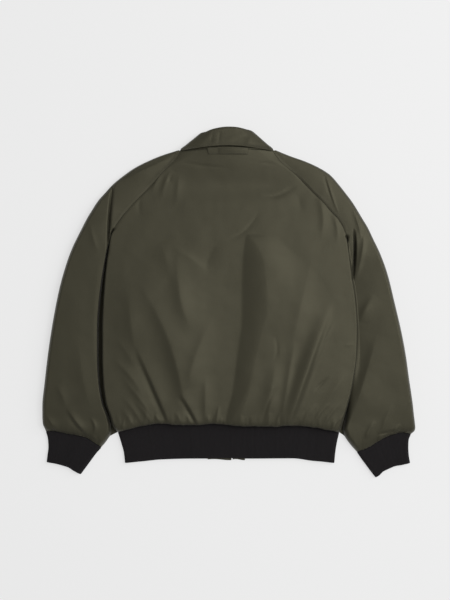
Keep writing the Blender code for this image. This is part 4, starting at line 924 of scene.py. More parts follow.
def bumps(tree, shader, *layers):
    """Chain of bump nodes: (height, depth in millimetres)."""
    normal = None
    for height, depth in layers:
        inputs = {"Height": height, "Distance": depth * MM, "Strength": 1.0}
        if normal is not None:
            inputs["Normal"] = normal
        normal = add(tree, "ShaderNodeBump", inputs).outputs["Normal"]
    tree.links.new(normal, shader.inputs["Normal"])


def shell_look():
    """Smooth dark olive twill: faint clouding, a fine diagonal and a soft crinkle."""
    look, tree, shader = plain("olive_twill", SHELL_LIGHT, 0.5, 0.05, 0.5)
    place = cloth_place(tree)
    cloud = noise(tree, place, 0.014, 4.0)
    speck = noise(tree, place, 0.9)
    both = maths(tree, "ADD", maths(tree, "MULTIPLY", cloud, 0.7), maths(tree, "MULTIPLY", speck, 0.3))
    mixed = add(tree, "ShaderNodeMix", {"Factor": both, "A": SHELL_DARK, "B": SHELL_LIGHT},
                data_type="RGBA")
    tree.links.new(mixed.outputs["Result"], shader.inputs["Base Color"])
    rough = maths(tree, "ADD", maths(tree, "MULTIPLY", cloud, 0.10), 0.48)
    tree.links.new(rough, shader.inputs["Roughness"])
    shader.inputs["Specular Tint"].default_value = SHELL_GLINT
    twill = bands(tree, place, 0.45, "DIAGONAL", 0.3)
    crinkle = noise(tree, place, 0.11, 3.0)
    bumps(tree, shader, (crinkle, 0.07), (twill, 0.03))
    return look


def rib_look():
    """Matt black rib knit: stitches in short slanting pairs along each wale."""
    look, tree, shader = plain("black_rib_knit", RIB_COLOUR, 0.9, 0.06, 0.25)
    place = cloth_place(tree)
    parts = add(tree, "ShaderNodeSeparateXYZ", {"Vector": place})
    wale = maths(tree, "FRACT", maths(tree, "DIVIDE", parts.outputs["X"], KNIT_PITCH))
    slant = maths(tree, "ABSOLUTE", maths(tree, "SUBTRACT", wale, 0.5))
    course = maths(tree, "ADD", maths(tree, "DIVIDE", parts.outputs["Y"], 1.6), slant)
    stitch = maths(tree, "SINE", maths(tree, "MULTIPLY", course, math.tau))
    bumps(tree, shader, (stitch, 0.07), (noise(tree, place, 1.4, 3.0), 0.25))
    return look


def zip_look():
    look, tree, shader = plain("zip_tape", ZIP_COLOUR, 0.65, 0.05, 0.4)
    bumps(tree, shader, (bands(tree, cloth_place(tree), 0.6, "Y"), 0.06))
    return look


# Real topstitching thread, made lighter than the cloth so that its rows paint a highlight along the seams
# they follow.
def thread_and_highlight_look():
    look, tree, shader = plain("olive_thread_painted_highlight", THREAD_AND_HIGHLIGHT_COLOUR, 0.55, 0.05, 0.4)
    bumps(tree, shader, (noise(tree, space_place(tree), 2500.0), 0.05))
    return look


def floor_look():
    look, tree, shader = plain("pale_floor", FLOOR_COLOUR, 0.95, 0.0, 0.0)
    bumps(tree, shader, (noise(tree, space_place(tree), 300.0), 0.01))
    shader.inputs["Emission Color"].default_value = WHITE
    shader.inputs["Emission Strength"].default_value = FLOOR_GLOW
    return look


SHELL = shell_look()
RIB = rib_look()
ZIP = zip_look()
HIGHLIGHT_THREAD = thread_and_highlight_look()


# ---- stitches ----
STITCH_PATHS = []  # (points, normals) of the lines to sew, gathered as the cloth is made


def inset_line(grid, rows, distance, last=False):
    """Line on a sheet at a distance from its first or its last column, with its normals."""
    normals = grid_normals(grid)
    normals = normals if normals[..., 2].mean() > 0 else -normals
    if last:
        grid, normals = grid[:, ::-1], normals[:, ::-1]
    line = []
    for points, up in zip(grid[rows], normals[rows]):
        run = distance_along(points)
        line.append([np.interp(distance, run, values) for values in (*points.T, *up.T)])
    line = np.array(line)
    return line[:, :3], line[:, 3:]


def make_stitches():
    """All the topstitching in one mesh: short threads that dip into the cloth at both ends, in a thread
    lighter than the cloth that paints a highlight along the seams.
    """
    steps = np.linspace(0.0, 1.0, len(STITCH_SHAPE))
    turn = np.linspace(0.0, math.tau, STITCH_SIDES + 1)[:-1]
    thick = STITCH_RADIUS * np.array(STITCH_SHAPE)
    lift = STITCH_RISE * np.sin(math.pi * steps) - 0.5 * STITCH_RADIUS
    rings = []
    for path, normals in STITCH_PATHS:
        run = distance_along(path)
        starts = np.arange(STITCH_PITCH / 2, run[-1] - STITCH_LENGTH, STITCH_PITCH)
        at = starts[:, None] + STITCH_LENGTH * steps
        place = np.stack([np.interp(at, run, values) for values in path.T], axis=-1)
        up = unit(np.stack([np.interp(at, run, values) for values in normals.T], axis=-1))
        aside = unit(np.cross(np.gradient(place, axis=1), up))
        place = place + lift[:, None] * up
        ring = np.cos(turn)[:, None] * aside[:, :, None] + np.sin(turn)[:, None] * up[:, :, None]
        rings.append(place[:, :, None] + thick[:, None, None] * ring)
    rings = np.concatenate(rings)
    index = np.arange(rings[..., 0].size).reshape(rings.shape[:3])
    beside = np.roll(index, -1, axis=2)
    quads = np.stack([index[:, :-1], beside[:, :-1], beside[:, 1:], index[:, 1:]], axis=3)
    add_piece("seam_stitches_painted_highlight", rings, quads, HIGHLIGHT_THREAD)


# ---- body ----
def seam_share(y, side):
    """1 along the raglan seam, falling to 0 at the armpit where the side fold starts."""
    return ease((np.asarray(y, float) - ARMPIT_Y[side]) / ARMPIT_RUN)


def crown_z(y):
    """Height of the back's cloth, away from its edges."""
    return read(BODY_CROWN, "z", np.asarray(y) - HEM_Y)


def fold_z(y):
    """Height of the body's side fold: it comes down to the hem band at the bottom."""
    return END_FOLD_Z + (FOLD_Z - END_FOLD_Z) * ease((y - HEM_Y) / HEM_FOLD_RUN)


def neck_share(y):
    """Rises from 0 to 1 over the last stretch below the neck."""
    return ease((np.asarray(y, float) - NECK_Y + NECK_CORNER_RUN) / NECK_CORNER_RUN)


def seam_z(y, side):
    """Height of the raglan seam on the upper side."""
    dip = SEAM_DIP + NECK_CORNER_DROP * neck_share(y)
    return fold_z(y) + (crown_z(y) - dip - fold_z(y)) * seam_share(y, side)


def body_tube(y):
    """Rows of the back, from its left side to its right one."""
    seams = [seam_share(y, side) for side in SIDES]
    seam_round = SEAM_ROUND + (NECK_CORNER_ROUND - SEAM_ROUND) * neck_share(y)
    rounds = [read(SIDE_ROWS, "body_" + side, y) * (1.0 - seam) + seam_round * seam
              for side, seam in zip(SIDES, seams)]
    return Tube([np.stack([read(BODY, side, y), y], axis=1) for side in SIDES],
                [seam_z(y, side) for side in SIDES], seams, rounds, crown_z(y))


def hem_and_neck_bow(y):
    """How far each row bows: like the hem seam at the bottom and the neck seam at the top."""
    y = y[:, None]
    hem = np.exp(-(y - HEM_Y) / HEM_BOW_REACH)
    neck = ease((y - NECK_BOW_Y) / (NECK_Y - NECK_BOW_Y))

    def bow_y(share):
        return hem * read(HEM_BOW, "rise", share) + neck * NECK_RISE * 4.0 * share * (1.0 - share)
    return bow_y


def make_back():
    """The back, gathered into the hem band, with the folds and creases that the wearer left."""
    rows = rows_from(HEM_Y, NECK_Y, PITCH)
    tube = body_tube(rows)
    x, y, z, weight = tube.points(stations(*BACK_STEPS), hem_and_neck_bow(rows), BODY_DOME)
    rise = (rows - HEM_Y)[:, None] + 0 * x
    y = y + HEM_SCALLOP * np.exp(-rise / SCALLOP_REACH) * ripple(x, 0 * x, SCALLOP_SIZE, SEED["hem_scallop"])
    z = z + weight * (fold_height(FOLDS, x, y) + trough_height(x, y) + waves(SOFTNESS, x, y, SEED["back"]))
    z = z + weight * puckers(rise, x, SEED["hem_puckers"])
    z = z - tube.pinch()
    grid = roll(np.stack([x, y, z], axis=2), "start", LIP_ROLL, back=HEM_LIP_RUN)
    lip_rows = len(grid) - len(rows)
    grid = roll(grid, "end", SEAM_ROLL, under=NECK_RUN_UNDER, share=np.ones(grid.shape[1]))
    neck_rows = len(grid) - len(rows) - lip_rows
    for edge, seam in zip(SIDES, tube.seams):
        share = np.pad(seam[:, 0], (lip_rows, neck_rows), mode="edge")
        grid = roll(grid, edge, FLAT_ROLL, under=RAGLAN_RUN_UNDER, share=share)
    piece = sheet("back", grid, SHELL, "back_panel")


def neckline_step(y):
    """Step along the front neck seam at which it reaches the height y."""
    corner_y = collar_corner("left", 0.0)[1]
    return 1.0 - np.sqrt(np.clip((y - NECK_FRONT_Y) / (corner_y - NECK_FRONT_Y), 0.0, 1.0))


def front_neckline(side, t, w=0.0):
    """Front neck seam from the shoulder corner (t = 0) to the centre front (t = 1).

    It is the collar's line at the foot of the stand; w is the share of the way up the stand.
    """
    y = NECK_FRONT_Y + COLLAR_FRONT_STAND * w
    reach = NECKLINE_CONTROL + (NECKLINE_CONTROL_ROLL - NECKLINE_CONTROL) * w
    control = np.array([SIGN[side] * reach, y])
    return curve(collar_corner(side, w), control, np.array([FRONT_EDGE[side], y]), t)


def straight(share):
    """A row that doesn't bow."""
    return 0.0 * share


def make_front(side):
    """One front, lying face down: flat underneath, rounded up to the side fold."""
    rows = rows_from(HEM_Y, RAGLAN_TOP_FRONT, UNDER_PITCH)
    none = np.zeros(len(rows))
    neck = front_neckline(side, neckline_step(rows)[:, None])
    centre = np.where(rows >= NECK_FRONT_Y, neck[:, 0] + SIGN[side] * NECK_CLEAR, FRONT_EDGE[side])
    share = seam_share(rows, side)
    tube = Tube([np.stack([edge, rows], axis=1) for edge in (read(BODY, side, rows), centre)],
                [(fold_z(rows) - GAP / 2) * (1.0 - share), none], [share, none + 1.0],
                [BODY_UNDER_ROUND + (SEAM_ROUND - BODY_UNDER_ROUND) * share, none + FRONT_EDGE_ROUND], none)
    x, y, z, _ = tube.points(stations(*FRONT_STEPS), straight, 0.0)
    level = ease(tube.from_a / (2 * BODY_UNDER_ROUND)) * ease(tube.from_b / FRONT_DENT_RUN)
    z = np.maximum(z + level * dents(x, y, SEED["front_" + side]), UNDER_Z)
    grid = np.stack([x, y, z], axis=2)
    for edge in ("start", "end", "left", "right"):
        grid = roll(grid, edge, SEAM_ROLL, facing=SIGN[side])
    piece = sheet("front_%s_cloth" % side, grid, SHELL, "front_" + side,
                  flip=(side == "left"))


# ---- sleeves ----
def sleeve_inner_x(side, y):
    """Inner edge: the raglan seam above the armpit, beside the body's fold below it."""
    low = [row for row in SLEEVE[side] if row.inner_x is not None]
    gap = read(SIDE_ROWS, "gap_" + side, y)
    gap = SEAM_GAP + (gap - SEAM_GAP) * ease((ARMPIT_Y[side] - y) / SLEEVE_GAP_RUN)
    sign = SIGN[side]
    beside = read(BODY, side, y) + sign * gap
    inside = sign * np.maximum(sign * read(low, "inner_x", y), sign * beside)
    return np.where(y >= ARMPIT_Y[side], read(BODY, side, y) + sign * SEAM_GAP, inside)


def sleeve_tuck(y, share):
    """1 where the sleeve's lower half runs in under the body's side."""
    return (1.0 - share) * ease((y - TUCK_START) / TUCK_RUN)


def sleeve_tube(side, y, upper):
    """Rows of one half of a sleeve, from its inner edge to its outer fold."""
    inner = np.stack([sleeve_inner_x(side, y), y], axis=1)
    outer = np.stack([read(SLEEVE[side], name, y) for name in ("outer_x", "outer_y")], axis=1)
    share = seam_share(y, side)
    wrist = ease((y - SLEEVE[side][-1].inner_y) / CUFF_RUN)
    fold = END_FOLD_Z + (FOLD_Z - END_FOLD_Z) * wrist + NECK_FOLD_RISE * neck_share(y)
    none = np.zeros(len(y))
    if upper:
        foot = read(SIDE_ROWS, "foot_" + side, y)
        edge = foot + (seam_z(y, side) - foot) * share
        rounding = read(SIDE_ROWS, "sleeve_" + side, y) * (1.0 - share) + SEAM_ROUND * share
        return Tube([inner, outer], [edge, fold], [share, none],
                    [rounding, END_ROUND + (SLEEVE_OUTER_ROUND - END_ROUND) * wrist],
                    read(SLEEVE[side], "crown", y))
    tuck = sleeve_tuck(y, share)
    inner[:, 0] = inner[:, 0] + (read(BODY, side, y) - inner[:, 0]) * tuck
    inner[:, 0] -= SIGN[side] * TUCK * tuck
    return Tube([inner, outer], [none + UNDER_Z, fold], [share, none],
                [none + SEAM_ROUND, none + SLEEVE_UNDER_ROUND], none + UNDER_Z)


def cuff_bow(side, y):
    """Rows near the wrist bow like the cuff seam."""
    near = np.exp(-(y[:, None] - SLEEVE[side][-1].inner_y) / CUFF_BOW_REACH)

    def bow_y(share):
        return near * read(CUFF_SEAM[side], "rise", share)
    return bow_y


def overarm_station(side, rows):
    """Station over the outer fold at which the overarm seam runs."""
    if side == "right":
        return np.full(len(rows), 2.0)
    rounding = sleeve_tube(side, rows, True).rounds[1][:, 0]
    inset = read(OVERARM_LEFT, "inset", rows)
    turn = np.arccos(1.0 - np.clip(inset / rounding, 0.0, 0.95)) / (math.pi / 2)
    return 2.0 - turn


def level_part(y):
    """1 between the armpit and the wrist, 0 at the shoulder and at the cuff."""
    return ease((TILT_TOP_Y - y) / TILT_TOP_RUN) * ease((y - TILT_LOW_Y) / TILT_LOW_RUN)


def sleeve_surface(side, rows, upper, at):
    """Points of one side of a sleeve at stations that may differ from row to row."""
    tube = sleeve_tube(side, rows, upper)
    row_bow = cuff_bow(side, rows) if upper else straight
    x, y, z, weight = tube.points(at, row_bow, SLEEVE_DOME if upper else 0.0)
    if upper:
        seed = SEED["sleeve_" + side]
        rise = (rows - rows[0])[:, None] + 0 * x
        relief = fold_height(FOLDS, x, y) + waves(SOFTNESS, x, y, seed) + puckers(rise, x, seed)
        z = z + weight * relief
        z = z + weight * SLEEVE_TILT[side] * level_part(rows)[:, None] * (tube.from_a - tube.from_b) / 2
        z = z - tube.pinch()
    else:
        level = ease((tube.from_a - SLEEVE_UNDER_ROUND) / SLEEVE_DENT_RUN)
        level = level * ease((tube.from_b - SLEEVE_UNDER_ROUND) / SLEEVE_DENT_RUN)
        z = z + level * dents(x, y, SEED["under_" + side])
    return np.stack([x, y, z], axis=2)


def make_sleeve_back(side):
    """The upper half of a sleeve, from the raglan seam to the overarm seam, with its stitching."""
    rows = rows_from(SLEEVE[side][-1].inner_y, NECK_Y, PITCH)
    base = np.array(stations(*SLEEVE_STEPS))
    ends = overarm_station(side, rows) - (OVERARM_GAP if side == "left" else 0.0)
    at = np.where(base <= 1.0, base, 1.0 + (base - 1.0) * (ends[:, None] - 1.0))
    grid = sleeve_surface(side, rows, True, at)
    raglan = (rows > ARMPIT_Y["left"] + RAGLAN_STITCH_START) & (rows < NECK_Y - RAGLAN_STITCH_END)
    for distance in STITCH_INSETS:
        STITCH_PATHS.append(inset_line(grid, raglan, distance))
        if side == "left":
            STITCH_PATHS.append(inset_line(grid, raglan, distance, last=True))
    facing = SIGN[side]
    grid = roll(grid, "start", LIP_ROLL, back=CUFF_LIP_RUN, facing=facing)
    grid = roll(grid, "end", SEAM_ROLL / 2, facing=facing)
    for edge in SIDES:
        grid = roll(grid, edge, FLAT_ROLL, facing=facing)
    piece = sheet("sleeve_%s_upper" % side, grid, SHELL, "sleeve_%s_back" % side,
                  flip=(side == "left"))


def make_sleeve_front(side):
    """The lower half of a sleeve; on the left it comes round the fold to the overarm seam."""
    rows = rows_from(SLEEVE[side][-1].inner_y, NECK_Y, UNDER_PITCH)
    grid = sleeve_surface(side, rows, False, stations(*SLEEVE_UNDER_STEPS))
    if side == "left":
        share = np.linspace(0.0, 1.0, WRAP_STEPS + 1)[None, 1:]
        wrap = 2.0 + (overarm_station(side, rows)[:, None] + OVERARM_GAP - 2.0) * share
        grid = np.concatenate([grid, sleeve_surface(side, rows, True, wrap)], axis=1)
    facing = -SIGN[side]
    grid = roll(grid, "start", SEAM_ROLL, back=CUFF_LIP_RUN, facing=facing)
    for edge in SIDES:
        grid = roll(grid, edge, SEAM_ROLL / 2, facing=facing)
    piece = sheet("sleeve_%s_under" % side, grid, SHELL, "sleeve_%s_front" % side,
                  flip=(side == "right"))


# ---- knitted bands ----
def band_ends(rows, alongs):
    """Inner and outer edge points of a band's rows."""
    return [np.stack([read(rows, edge + "_x", alongs), read(rows, edge + "_y", alongs)], axis=1)
            for edge in ("inner", "outer")]


def ribs(grid, normals, places):
    """Sink the furrows between the wales of the knit."""
    across, along = places[..., 0], places[..., 1]
    furrow = 1.0 - np.abs(np.sin(math.pi * (across / KNIT_PITCH))) ** KNIT_ROUND
    uneven = wave(WALE_WAVE, across, 0 * across, SEED["wales"])
    drawn = wave(KNIT_WAVE, across, KNIT_STRETCH * along, SEED["knit"])
    return grid - (KNIT_DEPTH * furrow + uneven + drawn)[..., None] * normals


def sewn_in(grid, inwards, lift):
    """Seam allowance of a band: on top it runs into the hollow of the shell's gathered edge."""
    upper = ease((grid[0, :, 2:] / BAND_TOP_Z - 0.5) / 0.5)
    rise = np.array([0.0, 0.0, 1.0]) * upper * lift
    lines = [grid[0] + upper * (run * inwards) + (1 - upper) * TUCK_UNDER * run * inwards + rise * share
             for run, share in TUCK_ROWS]
    return np.concatenate([np.array(lines), grid], axis=0)


def knit(name, node, grid, wales, inwards, lift, run_in, ring=False):
    """Make a band's smooth rows rib knit, turn in its free edge and sew its other one in.

    wales: place of each column across the knit; inwards: unit vector from the seam into the
    shell; lift: how much the seam allowance rises there; run_in: how far the free edge is
    turned in.
    """
    places = cloth_places(grid)
    places[..., 0] = wales
    normals = grid_normals(grid, ring)
    if normals[..., 2][grid[..., 2] > BAND_FOLD_Z].mean() <= 0:
        normals = -normals
    grid = ribs(grid, normals, places)
    grid[..., 2] = np.maximum(grid[..., 2], UNDER_Z)
    facing = 1.0 if np.sum(normals * grid_normals(grid, ring)) > 0 else -1.0
    grid = roll(grid, "end", BAND_ROLL, back=run_in, facing=facing, ring=ring)
    grid = sewn_in(grid, inwards, lift)
    places = cloth_places(grid)
    places[..., 0] = wales
    return sheet(name, grid, RIB, node, ring=ring, flip=facing < 0, places=places)


def make_cuff(side):
    """A knitted tube, wide at the sleeve and narrower at the wrist opening."""
    alongs = np.linspace(0.0, 1.0, CUFF_ROWS)
    inner, outer = band_ends(CUFF[side], alongs)
    last = SLEEVE[side][-1]
    axis = unit(np.array([last.outer_y - last.inner_y, last.inner_x - last.outer_x]))
    if axis[1] > 0:
        axis = -axis
    clear = axis * BAND_GAP * ease(1.0 - alongs / CUFF_CLEAR)[:, None]
    inner = inner + clear
    outer = outer + clear
    turn = np.linspace(-math.pi / 2, math.pi / 2, CUFF_TURN_STEPS + 1)[:-1]
    flat = np.linspace(0.0, 1.0, CUFF_FLAT_STEPS + 1)[:-1]
    rounded = BAND_ROUND * (1.0 - np.cos(turn))
    height = np.concatenate([np.sin(turn), np.ones(len(flat)), -np.sin(turn), -np.ones(len(flat))])
    grid = []
    for start, end, along in zip(inner, outer, alongs):
        run = end - start
        width = np.hypot(*run)
        between = (width - 2 * BAND_ROUND) * flat
        across = np.concatenate([rounded, BAND_ROUND + between, width - rounded,
                                 width - BAND_ROUND - between])
        share = across / width
        rise = ((1 - along) * read(CUFF_SEAM[side], "rise", share) * ease((height + 1) / 2)
                + along * read(CUFF_EDGE[side], "rise", share))
        half = (BAND_TOP_Z - CUFF_TAPER * along) / 2
        grid.append(np.stack([start[0] + run[0] * share, start[1] + run[1] * share + rise,
                              half + half * height], axis=1))
    grid = np.array(grid)
    count = round(2 * np.hypot(*(outer[0] - inner[0])) / KNIT_PITCH)
    wales = np.linspace(0.0, count * KNIT_PITCH, grid.shape[1] + 1)[:-1]
    piece = knit("cuff_%s_knit" % side, "cuff_" + side, grid, wales,
                 np.array([-axis[0], -axis[1], 0.0]), CUFF_TUCK_LIFT, CUFF_RUN_IN, ring=True)


def make_hem_rib():
    """The hem band: one strip from the centre front round the back to the centre front."""
    alongs = np.linspace(0.0, 1.0, HEM_ROWS)
    turn = np.linspace(-math.pi / 2, math.pi / 2, HEM_TURN_STEPS + 1)
    rounded = BAND_ROUND * (1.0 - np.cos(turn))
    beneath = np.full(HEM_FRONT_STEPS, -1.0)
    height = np.concatenate([beneath, np.sin(turn[:-1]), np.ones(HEM_BACK_STEPS + 1),
                             -np.sin(turn[1:-1]), beneath, [-1.0]])
    top_share = ease((height + 1) / 2)
    grid = []
    for start, end, along in zip(*band_ends(HEM_BAND, alongs), alongs):
        left, right = start[0] + BAND_ROUND, end[0] - BAND_ROUND
        front_left = np.linspace(HEM_END["left"] - SEAM_GAP, left, HEM_FRONT_STEPS + 1)[:-1]
        front_right = np.linspace(right, HEM_END["right"] + SEAM_GAP, HEM_FRONT_STEPS + 1)
        back = np.linspace(left, right, HEM_BACK_STEPS + 1)
        x = np.concatenate([front_left, start[0] + rounded[:-1], back, end[0] - rounded[1:-1], front_right])
        share = (x - start[0]) / (end[0] - start[0])
        seam_back = read(HEM_BOW, "rise", share) - BAND_GAP
        edge_back = read(BAND_EDGE_BOW, "rise", share)
        edge_front = edge_back - HEM_FRONT_LOW * ease(share * (1 - share) * 8)
        rise_seam = seam_back * top_share - BAND_GAP * (1 - top_share)
        rise_edge = edge_front + (edge_back - edge_front) * top_share
        y = start[1] + (1 - along) * rise_seam + along * rise_edge
        half = (BAND_TOP_Z - HEM_TAPER * along) / 2
        grid.append(np.stack([x, y, half + half * height], axis=1))
    grid = np.array(grid)
    piece = knit("hem_knit", "hem_rib", grid, cloth_places(grid)[0, :, 0],
                 np.array([0.0, 1.0, 0.0]), HEM_TUCK_LIFT, HEM_RUN_IN)


def make_hem_end(side):
    """Short piece of shell cloth between the hem band and the zip, lying flat underneath."""
    left, right = sorted((HEM_END[side], FRONT_EDGE[side]))
    columns, rows = HEM_END_GRID
    x = np.linspace(left, right, columns)
    ripple_y = HEM_END_RIPPLE * np.sin(np.linspace(0.4, 5.0, columns))
    lines = []
    for along in np.linspace(0.0, 1.0, rows):
        y = (HEM_Y - BAND_GAP) * (1 - along) + (HEM_END_Y + ripple_y) * along
        lines.append(np.stack([x, y, np.full(columns, HEM_END_THICK)], axis=1))
    top = np.array(lines)
    top[..., 2] += wave(HEM_END_WAVE, top[..., 0], top[..., 1], SEED["hem_end_top"]) - HEM_END_SINK
    under = top.copy()
    under[..., 2] = UNDER_Z + wave(HEM_END_UNDER_WAVE, top[..., 0], top[..., 1], SEED["hem_end_under"])
    middle = (top + under) / 2
    bulge = np.array([HEM_END_BULGE, 0.0, 0.0])
    shell = np.concatenate([top, middle[:, -1:] + bulge, under[:, ::-1], middle[:, :1] - bulge], axis=1)
    end = shell[-1:].copy()
    end[..., 1] -= HEM_END_CLOSE
    end[..., 2] = HEM_END_THICK / 2 + (end[..., 2] - HEM_END_THICK / 2) * 0.5
    grid = np.concatenate([shell, end], axis=0)
    piece = sheet("hem_end_%s_cloth" % side, grid, SHELL, "hem_end_" + side, ring=True,
                  flip=True)


# ---- zip ----
def make_teeth(centres):
    """The zip's teeth: eight-cornered blocks, smaller at the bottom, joined in one mesh."""
    corner = np.array([(sx, sy, sz) for sx in (-1, 1) for sy in (-1, 1) for sz in (-1, 1)], float)
    corner = corner * np.array(TOOTH) / 2
    corner[:, :2] *= np.where(corner[:, 2:] < 0, TOOTH_TAPER, 1.0)
    faces = np.array([(0, 1, 3, 2), (4, 6, 7, 5), (0, 4, 5, 1), (2, 3, 7, 6), (0, 2, 6, 4),
                      (1, 5, 7, 3)])
    quads = faces[None] + len(corner) * np.arange(len(centres))[:, None, None]
    add_piece("zip_teeth", centres[:, None] + corner[None], quads, ZIP, rounded=False)


def make_zip():
    """Closed zip behind the two front edges: a woven tape with its teeth down the middle."""
    centre = sum(FRONT_EDGE.values()) / 2
    foot = HEM_END_Y + ZIP_FOOT
    head = NECK_FRONT_Y - NECK_CLEAR
    x = centre + np.concatenate([np.linspace(-ZIP_HALF, -ZIP_SLIT, ZIP_COLUMNS),
                                 np.linspace(ZIP_SLIT, ZIP_HALF, ZIP_COLUMNS)])
    grid_x, grid_y = np.meshgrid(x, np.linspace(foot, head, ZIP_ROWS))
    z = ZIP_Z + TAPE_LIFT + wave(ZIP_WAVE, grid_x, grid_y, SEED["zip"])
    piece = sheet("zip_tape_cloth", np.stack([grid_x, grid_y, z], axis=2), ZIP, "zip", flip=True)
    along = np.arange(foot + TOOTH_FIRST, head - TOOTH_LAST, TOOTH_PITCH / 2)
    aside = np.where(np.arange(len(along)) % 2 == 0, -TOOTH_ASIDE, TOOTH_ASIDE)
    make_teeth(np.stack([centre + aside, along, np.full(len(along), ZIP_Z - TOOTH_DROP)], axis=1))


# ---- collar ----
def collar_out(side):
    """Horizontal direction across the collar's folded side, away from the neck."""
    low, high = NECK_CORNERS[side], ROLL_CORNERS[side]
    run = unit(np.array([high.x - low.x, high.y - low.y]))
    return SIGN[side] * np.array([run[1], -run[0]])


def collar_fold(side, w):
    """Point on the folded side of the collar, at a share w of the way up the stand."""
    low, high = NECK_CORNERS[side], ROLL_CORNERS[side]
    return np.array([low.x + (high.x - low.x) * w, low.y + (high.y - low.y) * w])


def collar_corner(side, w, part="front"):
    """Where the turn of the folded side meets the flat back or front of the collar."""
    at_neck, at_roll = COLLAR_ROUND
    run_x, run_y = TOWARDS_BACK if part == "back" else TOWARDS_FRONT
    if part == "back":
        run_y *= w
    rounding = at_neck + (at_roll - at_neck) * w
    return collar_fold(side, w) + rounding * np.array([-SIGN[side] * run_x, run_y])


def stand_heights(w, across):
    """Heights of the stand at the back and at the front; across runs along the back from 0 to 1."""
    settle = ease(w / COLLAR_SETTLE)
    near = np.clip(min(across, 1.0 - across) * NECK_WIDTH / NECK_CORNER_ROUND, 0.0, 1.0)
    full = crown_z(NECK_Y) + BODY_DOME * math.sin(math.pi * across)
    thin = crown_z(NECK_Y) - SEAM_DIP - NECK_CORNER_DROP
    back_z = thin + (full - thin) * math.sin(near * math.pi / 2) - COLLAR_SINK * settle
    return back_z, COLLAR_FRONT_Z * settle


def collar_point(station, w, offset):
    """A point of the collar: station (part, side, t), w up the stand, offset out of the ring."""
    part, side, t = station
    back_z, front_z = stand_heights(w, t if part == "back" else 0.0)
    if part == "back":
        left, right = (collar_corner(which, w, "back") for which in SIDES)
        x, y = left + (right - left) * t
        y += 4.0 * t * (1 - t) * (NECK_RISE + (ROLL_BOW - NECK_RISE) * w)
        return np.array([x, y, back_z + offset])
    if part == "turn":
        tall = (back_z - front_z) / 2
        fold = collar_fold(side, w)
        corner = collar_corner(side, w, "back" if t > 0 else "front")
        x, y = fold + (corner - fold) * (1.0 - math.cos(t)) + collar_out(side) * offset * math.cos(t)
        return np.array([x, y, (back_z + front_z) / 2 + (tall + offset) * math.sin(t)])
    x, y = front_neckline(side, t, w)
    return np.array([x, y, front_z - offset])


def collar_ring():
    """Stations right round the neck, from the left centre front to the right one."""
    steps = np.linspace(1.0, 0.02, COLLAR_FRONT_POINTS)
    turn = np.radians(np.linspace(-90, 90, COLLAR_TURN_POINTS))
    across = np.linspace(0.0, 1.0, COLLAR_BACK_POINTS)[1:-1]
    return ([("front", "left", t) for t in steps] + [("turn", "left", t) for t in turn]
            + [("back", "", t) for t in across]
            + [("turn", "right", t) for t in turn[::-1]] + [("front", "right", t) for t in steps[::-1]])


def collar_line(station):
    """One line across the collar: inside the fall, its edge, up the fall, over the roll, down the stand."""
    part, _, t = station
    back_share = {"back": 1.0, "front": 0.0}.get(part, 0.5 + 0.5 * math.sin(t))
    if part == "back":
        edge = FALL_EDGE + FALL_EDGE_BACK * 4.0 * t * (1 - t)
    else:
        edge = FALL_EDGE + FALL_EDGE_FRONT * (1.0 - back_share)

    def fall_point(share, thick):
        gap = FALL_GAP + FALL_LIFT * back_share * (1.0 - share) ** 1.5
        return collar_point(station, edge + (1.0 - edge) * share, gap + thick)

    line = [fall_point(share, 0.0) for share in FALL_INSIDE]
    line.append(collar_point(station, edge - FALL_LIP, FALL_GAP + FALL_LIFT * back_share + 0.5 * WALL))
    line += [fall_point(share, WALL) for share in FALL_OUTSIDE]
    roll_start = edge + (1.0 - edge) * ROLL_START
    half = (FALL_GAP + 2 * WALL) / 2
    for angle in np.radians(ROLL_ANGLES):
        w = roll_start + (1.0 + ROLL_EXTRA - roll_start) * math.cos(angle)
        line.append(collar_point(station, w, FALL_GAP / 2 + half * math.sin(angle)))
    return line + [collar_point(station, w, -WALL) for w in np.linspace(*STAND_ROWS)]


def make_collar():
    """Stand and fall in one folded strip, right round the neck, open at the centre front."""
    grid = np.swapaxes(np.array([collar_line(station) for station in collar_ring()]), 0, 1)
    x, y = grid[..., 0], grid[..., 1]
    relief = waves(COLLAR_WAVES, x, y * 2.0, SEED["collar"]) + fold_height(COLLAR_FOLDS, x, y)
    relief = np.where(grid[..., 2] > COLLAR_UPPER_Z, relief, 0.0)
    grid = grid + relief[..., None] * grid_normals(grid)
    grid[..., 2] = np.maximum(grid[..., 2], UNDER_Z)
    first = len(FALL_INSIDE) + 1
    fall = np.swapaxes(grid[first:first + len(FALL_OUTSIDE) + 2], 0, 1)
    sewn = np.arange(COLLAR_STITCH_START, len(fall) - COLLAR_STITCH_START)
    STITCH_PATHS.append(inset_line(fall, sewn, COLLAR_STITCH))
    piece = sheet("collar_cloth", grid, SHELL, "collar")


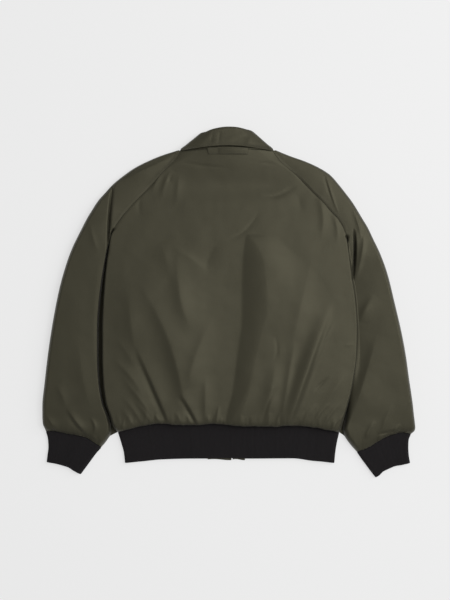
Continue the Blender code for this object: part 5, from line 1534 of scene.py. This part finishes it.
# ---- hanger loop ----
def make_hanger_loop():
    """Flat strip over the back neck seam, sewn down at both ends."""
    x, y = np.meshgrid(np.linspace(LOOP_LEFT, LOOP_RIGHT, LOOP_GRID[0]),
                       np.linspace(LOOP_LOW_Y, LOOP_HIGH_Y, LOOP_GRID[1]))
    x = x - LOOP_SLANT * (y - LOOP_HIGH_Y) * np.clip(x / LOOP_LEFT, 0, 1)
    top = crown_z(np.minimum(y, NECK_Y)) + BODY_DOME + fold_height(FOLDS, x, y)
    top = np.maximum(top, crown_z(np.full(y.shape, NECK_Y)))
    free = np.sin(math.pi * np.clip((x - LOOP_FREE_X) / (LOOP_RIGHT - LOOP_FREE_X), 0, 1)) ** 0.6
    slope = LOOP_TILT * (y - LOOP_LOW_Y) / (LOOP_HIGH_Y - LOOP_LOW_Y)
    z = top + LOOP_LIFT + LOOP_BULGE * free + LOOP_THICK + slope
    grid = np.stack([x, y, z + wave(LOOP_WAVE, x, y, SEED["loop"])], axis=2)
    along = np.swapaxes(grid, 0, 1)
    for last in (False, True):
        STITCH_PATHS.append(inset_line(along, np.arange(1, len(along) - 1), LOOP_STITCH, last))
    for edge in ("start", "end", "left", "right"):
        grid = roll(grid, edge, LOOP_ROLL)
    piece = sheet("hanger_loop_cloth", grid, SHELL, "hanger_loop")


# ---- the garment ----
make_back()
for which in SIDES:
    make_front(which)
    make_sleeve_back(which)
    make_sleeve_front(which)
    make_cuff(which)
    make_hem_end(which)
make_hem_rib()
make_zip()
make_collar()
make_hanger_loop()
make_stitches()


# ---- floor, light and camera ----
def link(name, data, place=(0.0, 0.0, 0.0)):
    thing = bpy.data.objects.new(name, data)
    thing.location = place
    bpy.context.scene.collection.objects.link(thing)
    return thing


def make_floor():
    mesh = bpy.data.meshes.new("floor")
    corners = [(-1, -1), (1, -1), (1, 1), (-1, 1)]
    mesh.from_pydata([(x * FLOOR_HALF, y * FLOOR_HALF, 0) for x, y in corners], [], [(0, 1, 2, 3)])
    mesh.materials.append(floor_look())
    link("floor", mesh)


def make_lamp(name, place, size, power):
    data = bpy.data.lights.new(name, "AREA")
    data.shape = "SQUARE"
    data.size = size
    data.energy = power
    lamp = link(name, data, place)
    lamp.rotation_euler = (-lamp.location).to_track_quat("-Z", "Y").to_euler()


def make_camera():
    data = bpy.data.cameras.new("camera")
    data.lens = CAMERA_LENS
    data.sensor_width = CAMERA_SENSOR
    bpy.context.scene.camera = link("camera", data, CAMERA_PLACE)


def make_world():
    world = bpy.data.worlds.new("studio")
    world.use_nodes = True
    background = world.node_tree.nodes["Background"]
    background.inputs["Color"].default_value = WHITE
    background.inputs["Strength"].default_value = WORLD_STRENGTH
    bpy.context.scene.world = world


make_floor()
make_world()
for lamp_values in LAMPS:
    make_lamp(*lamp_values)
make_camera()
bpy.context.scene.view_settings.view_transform = "Standard"
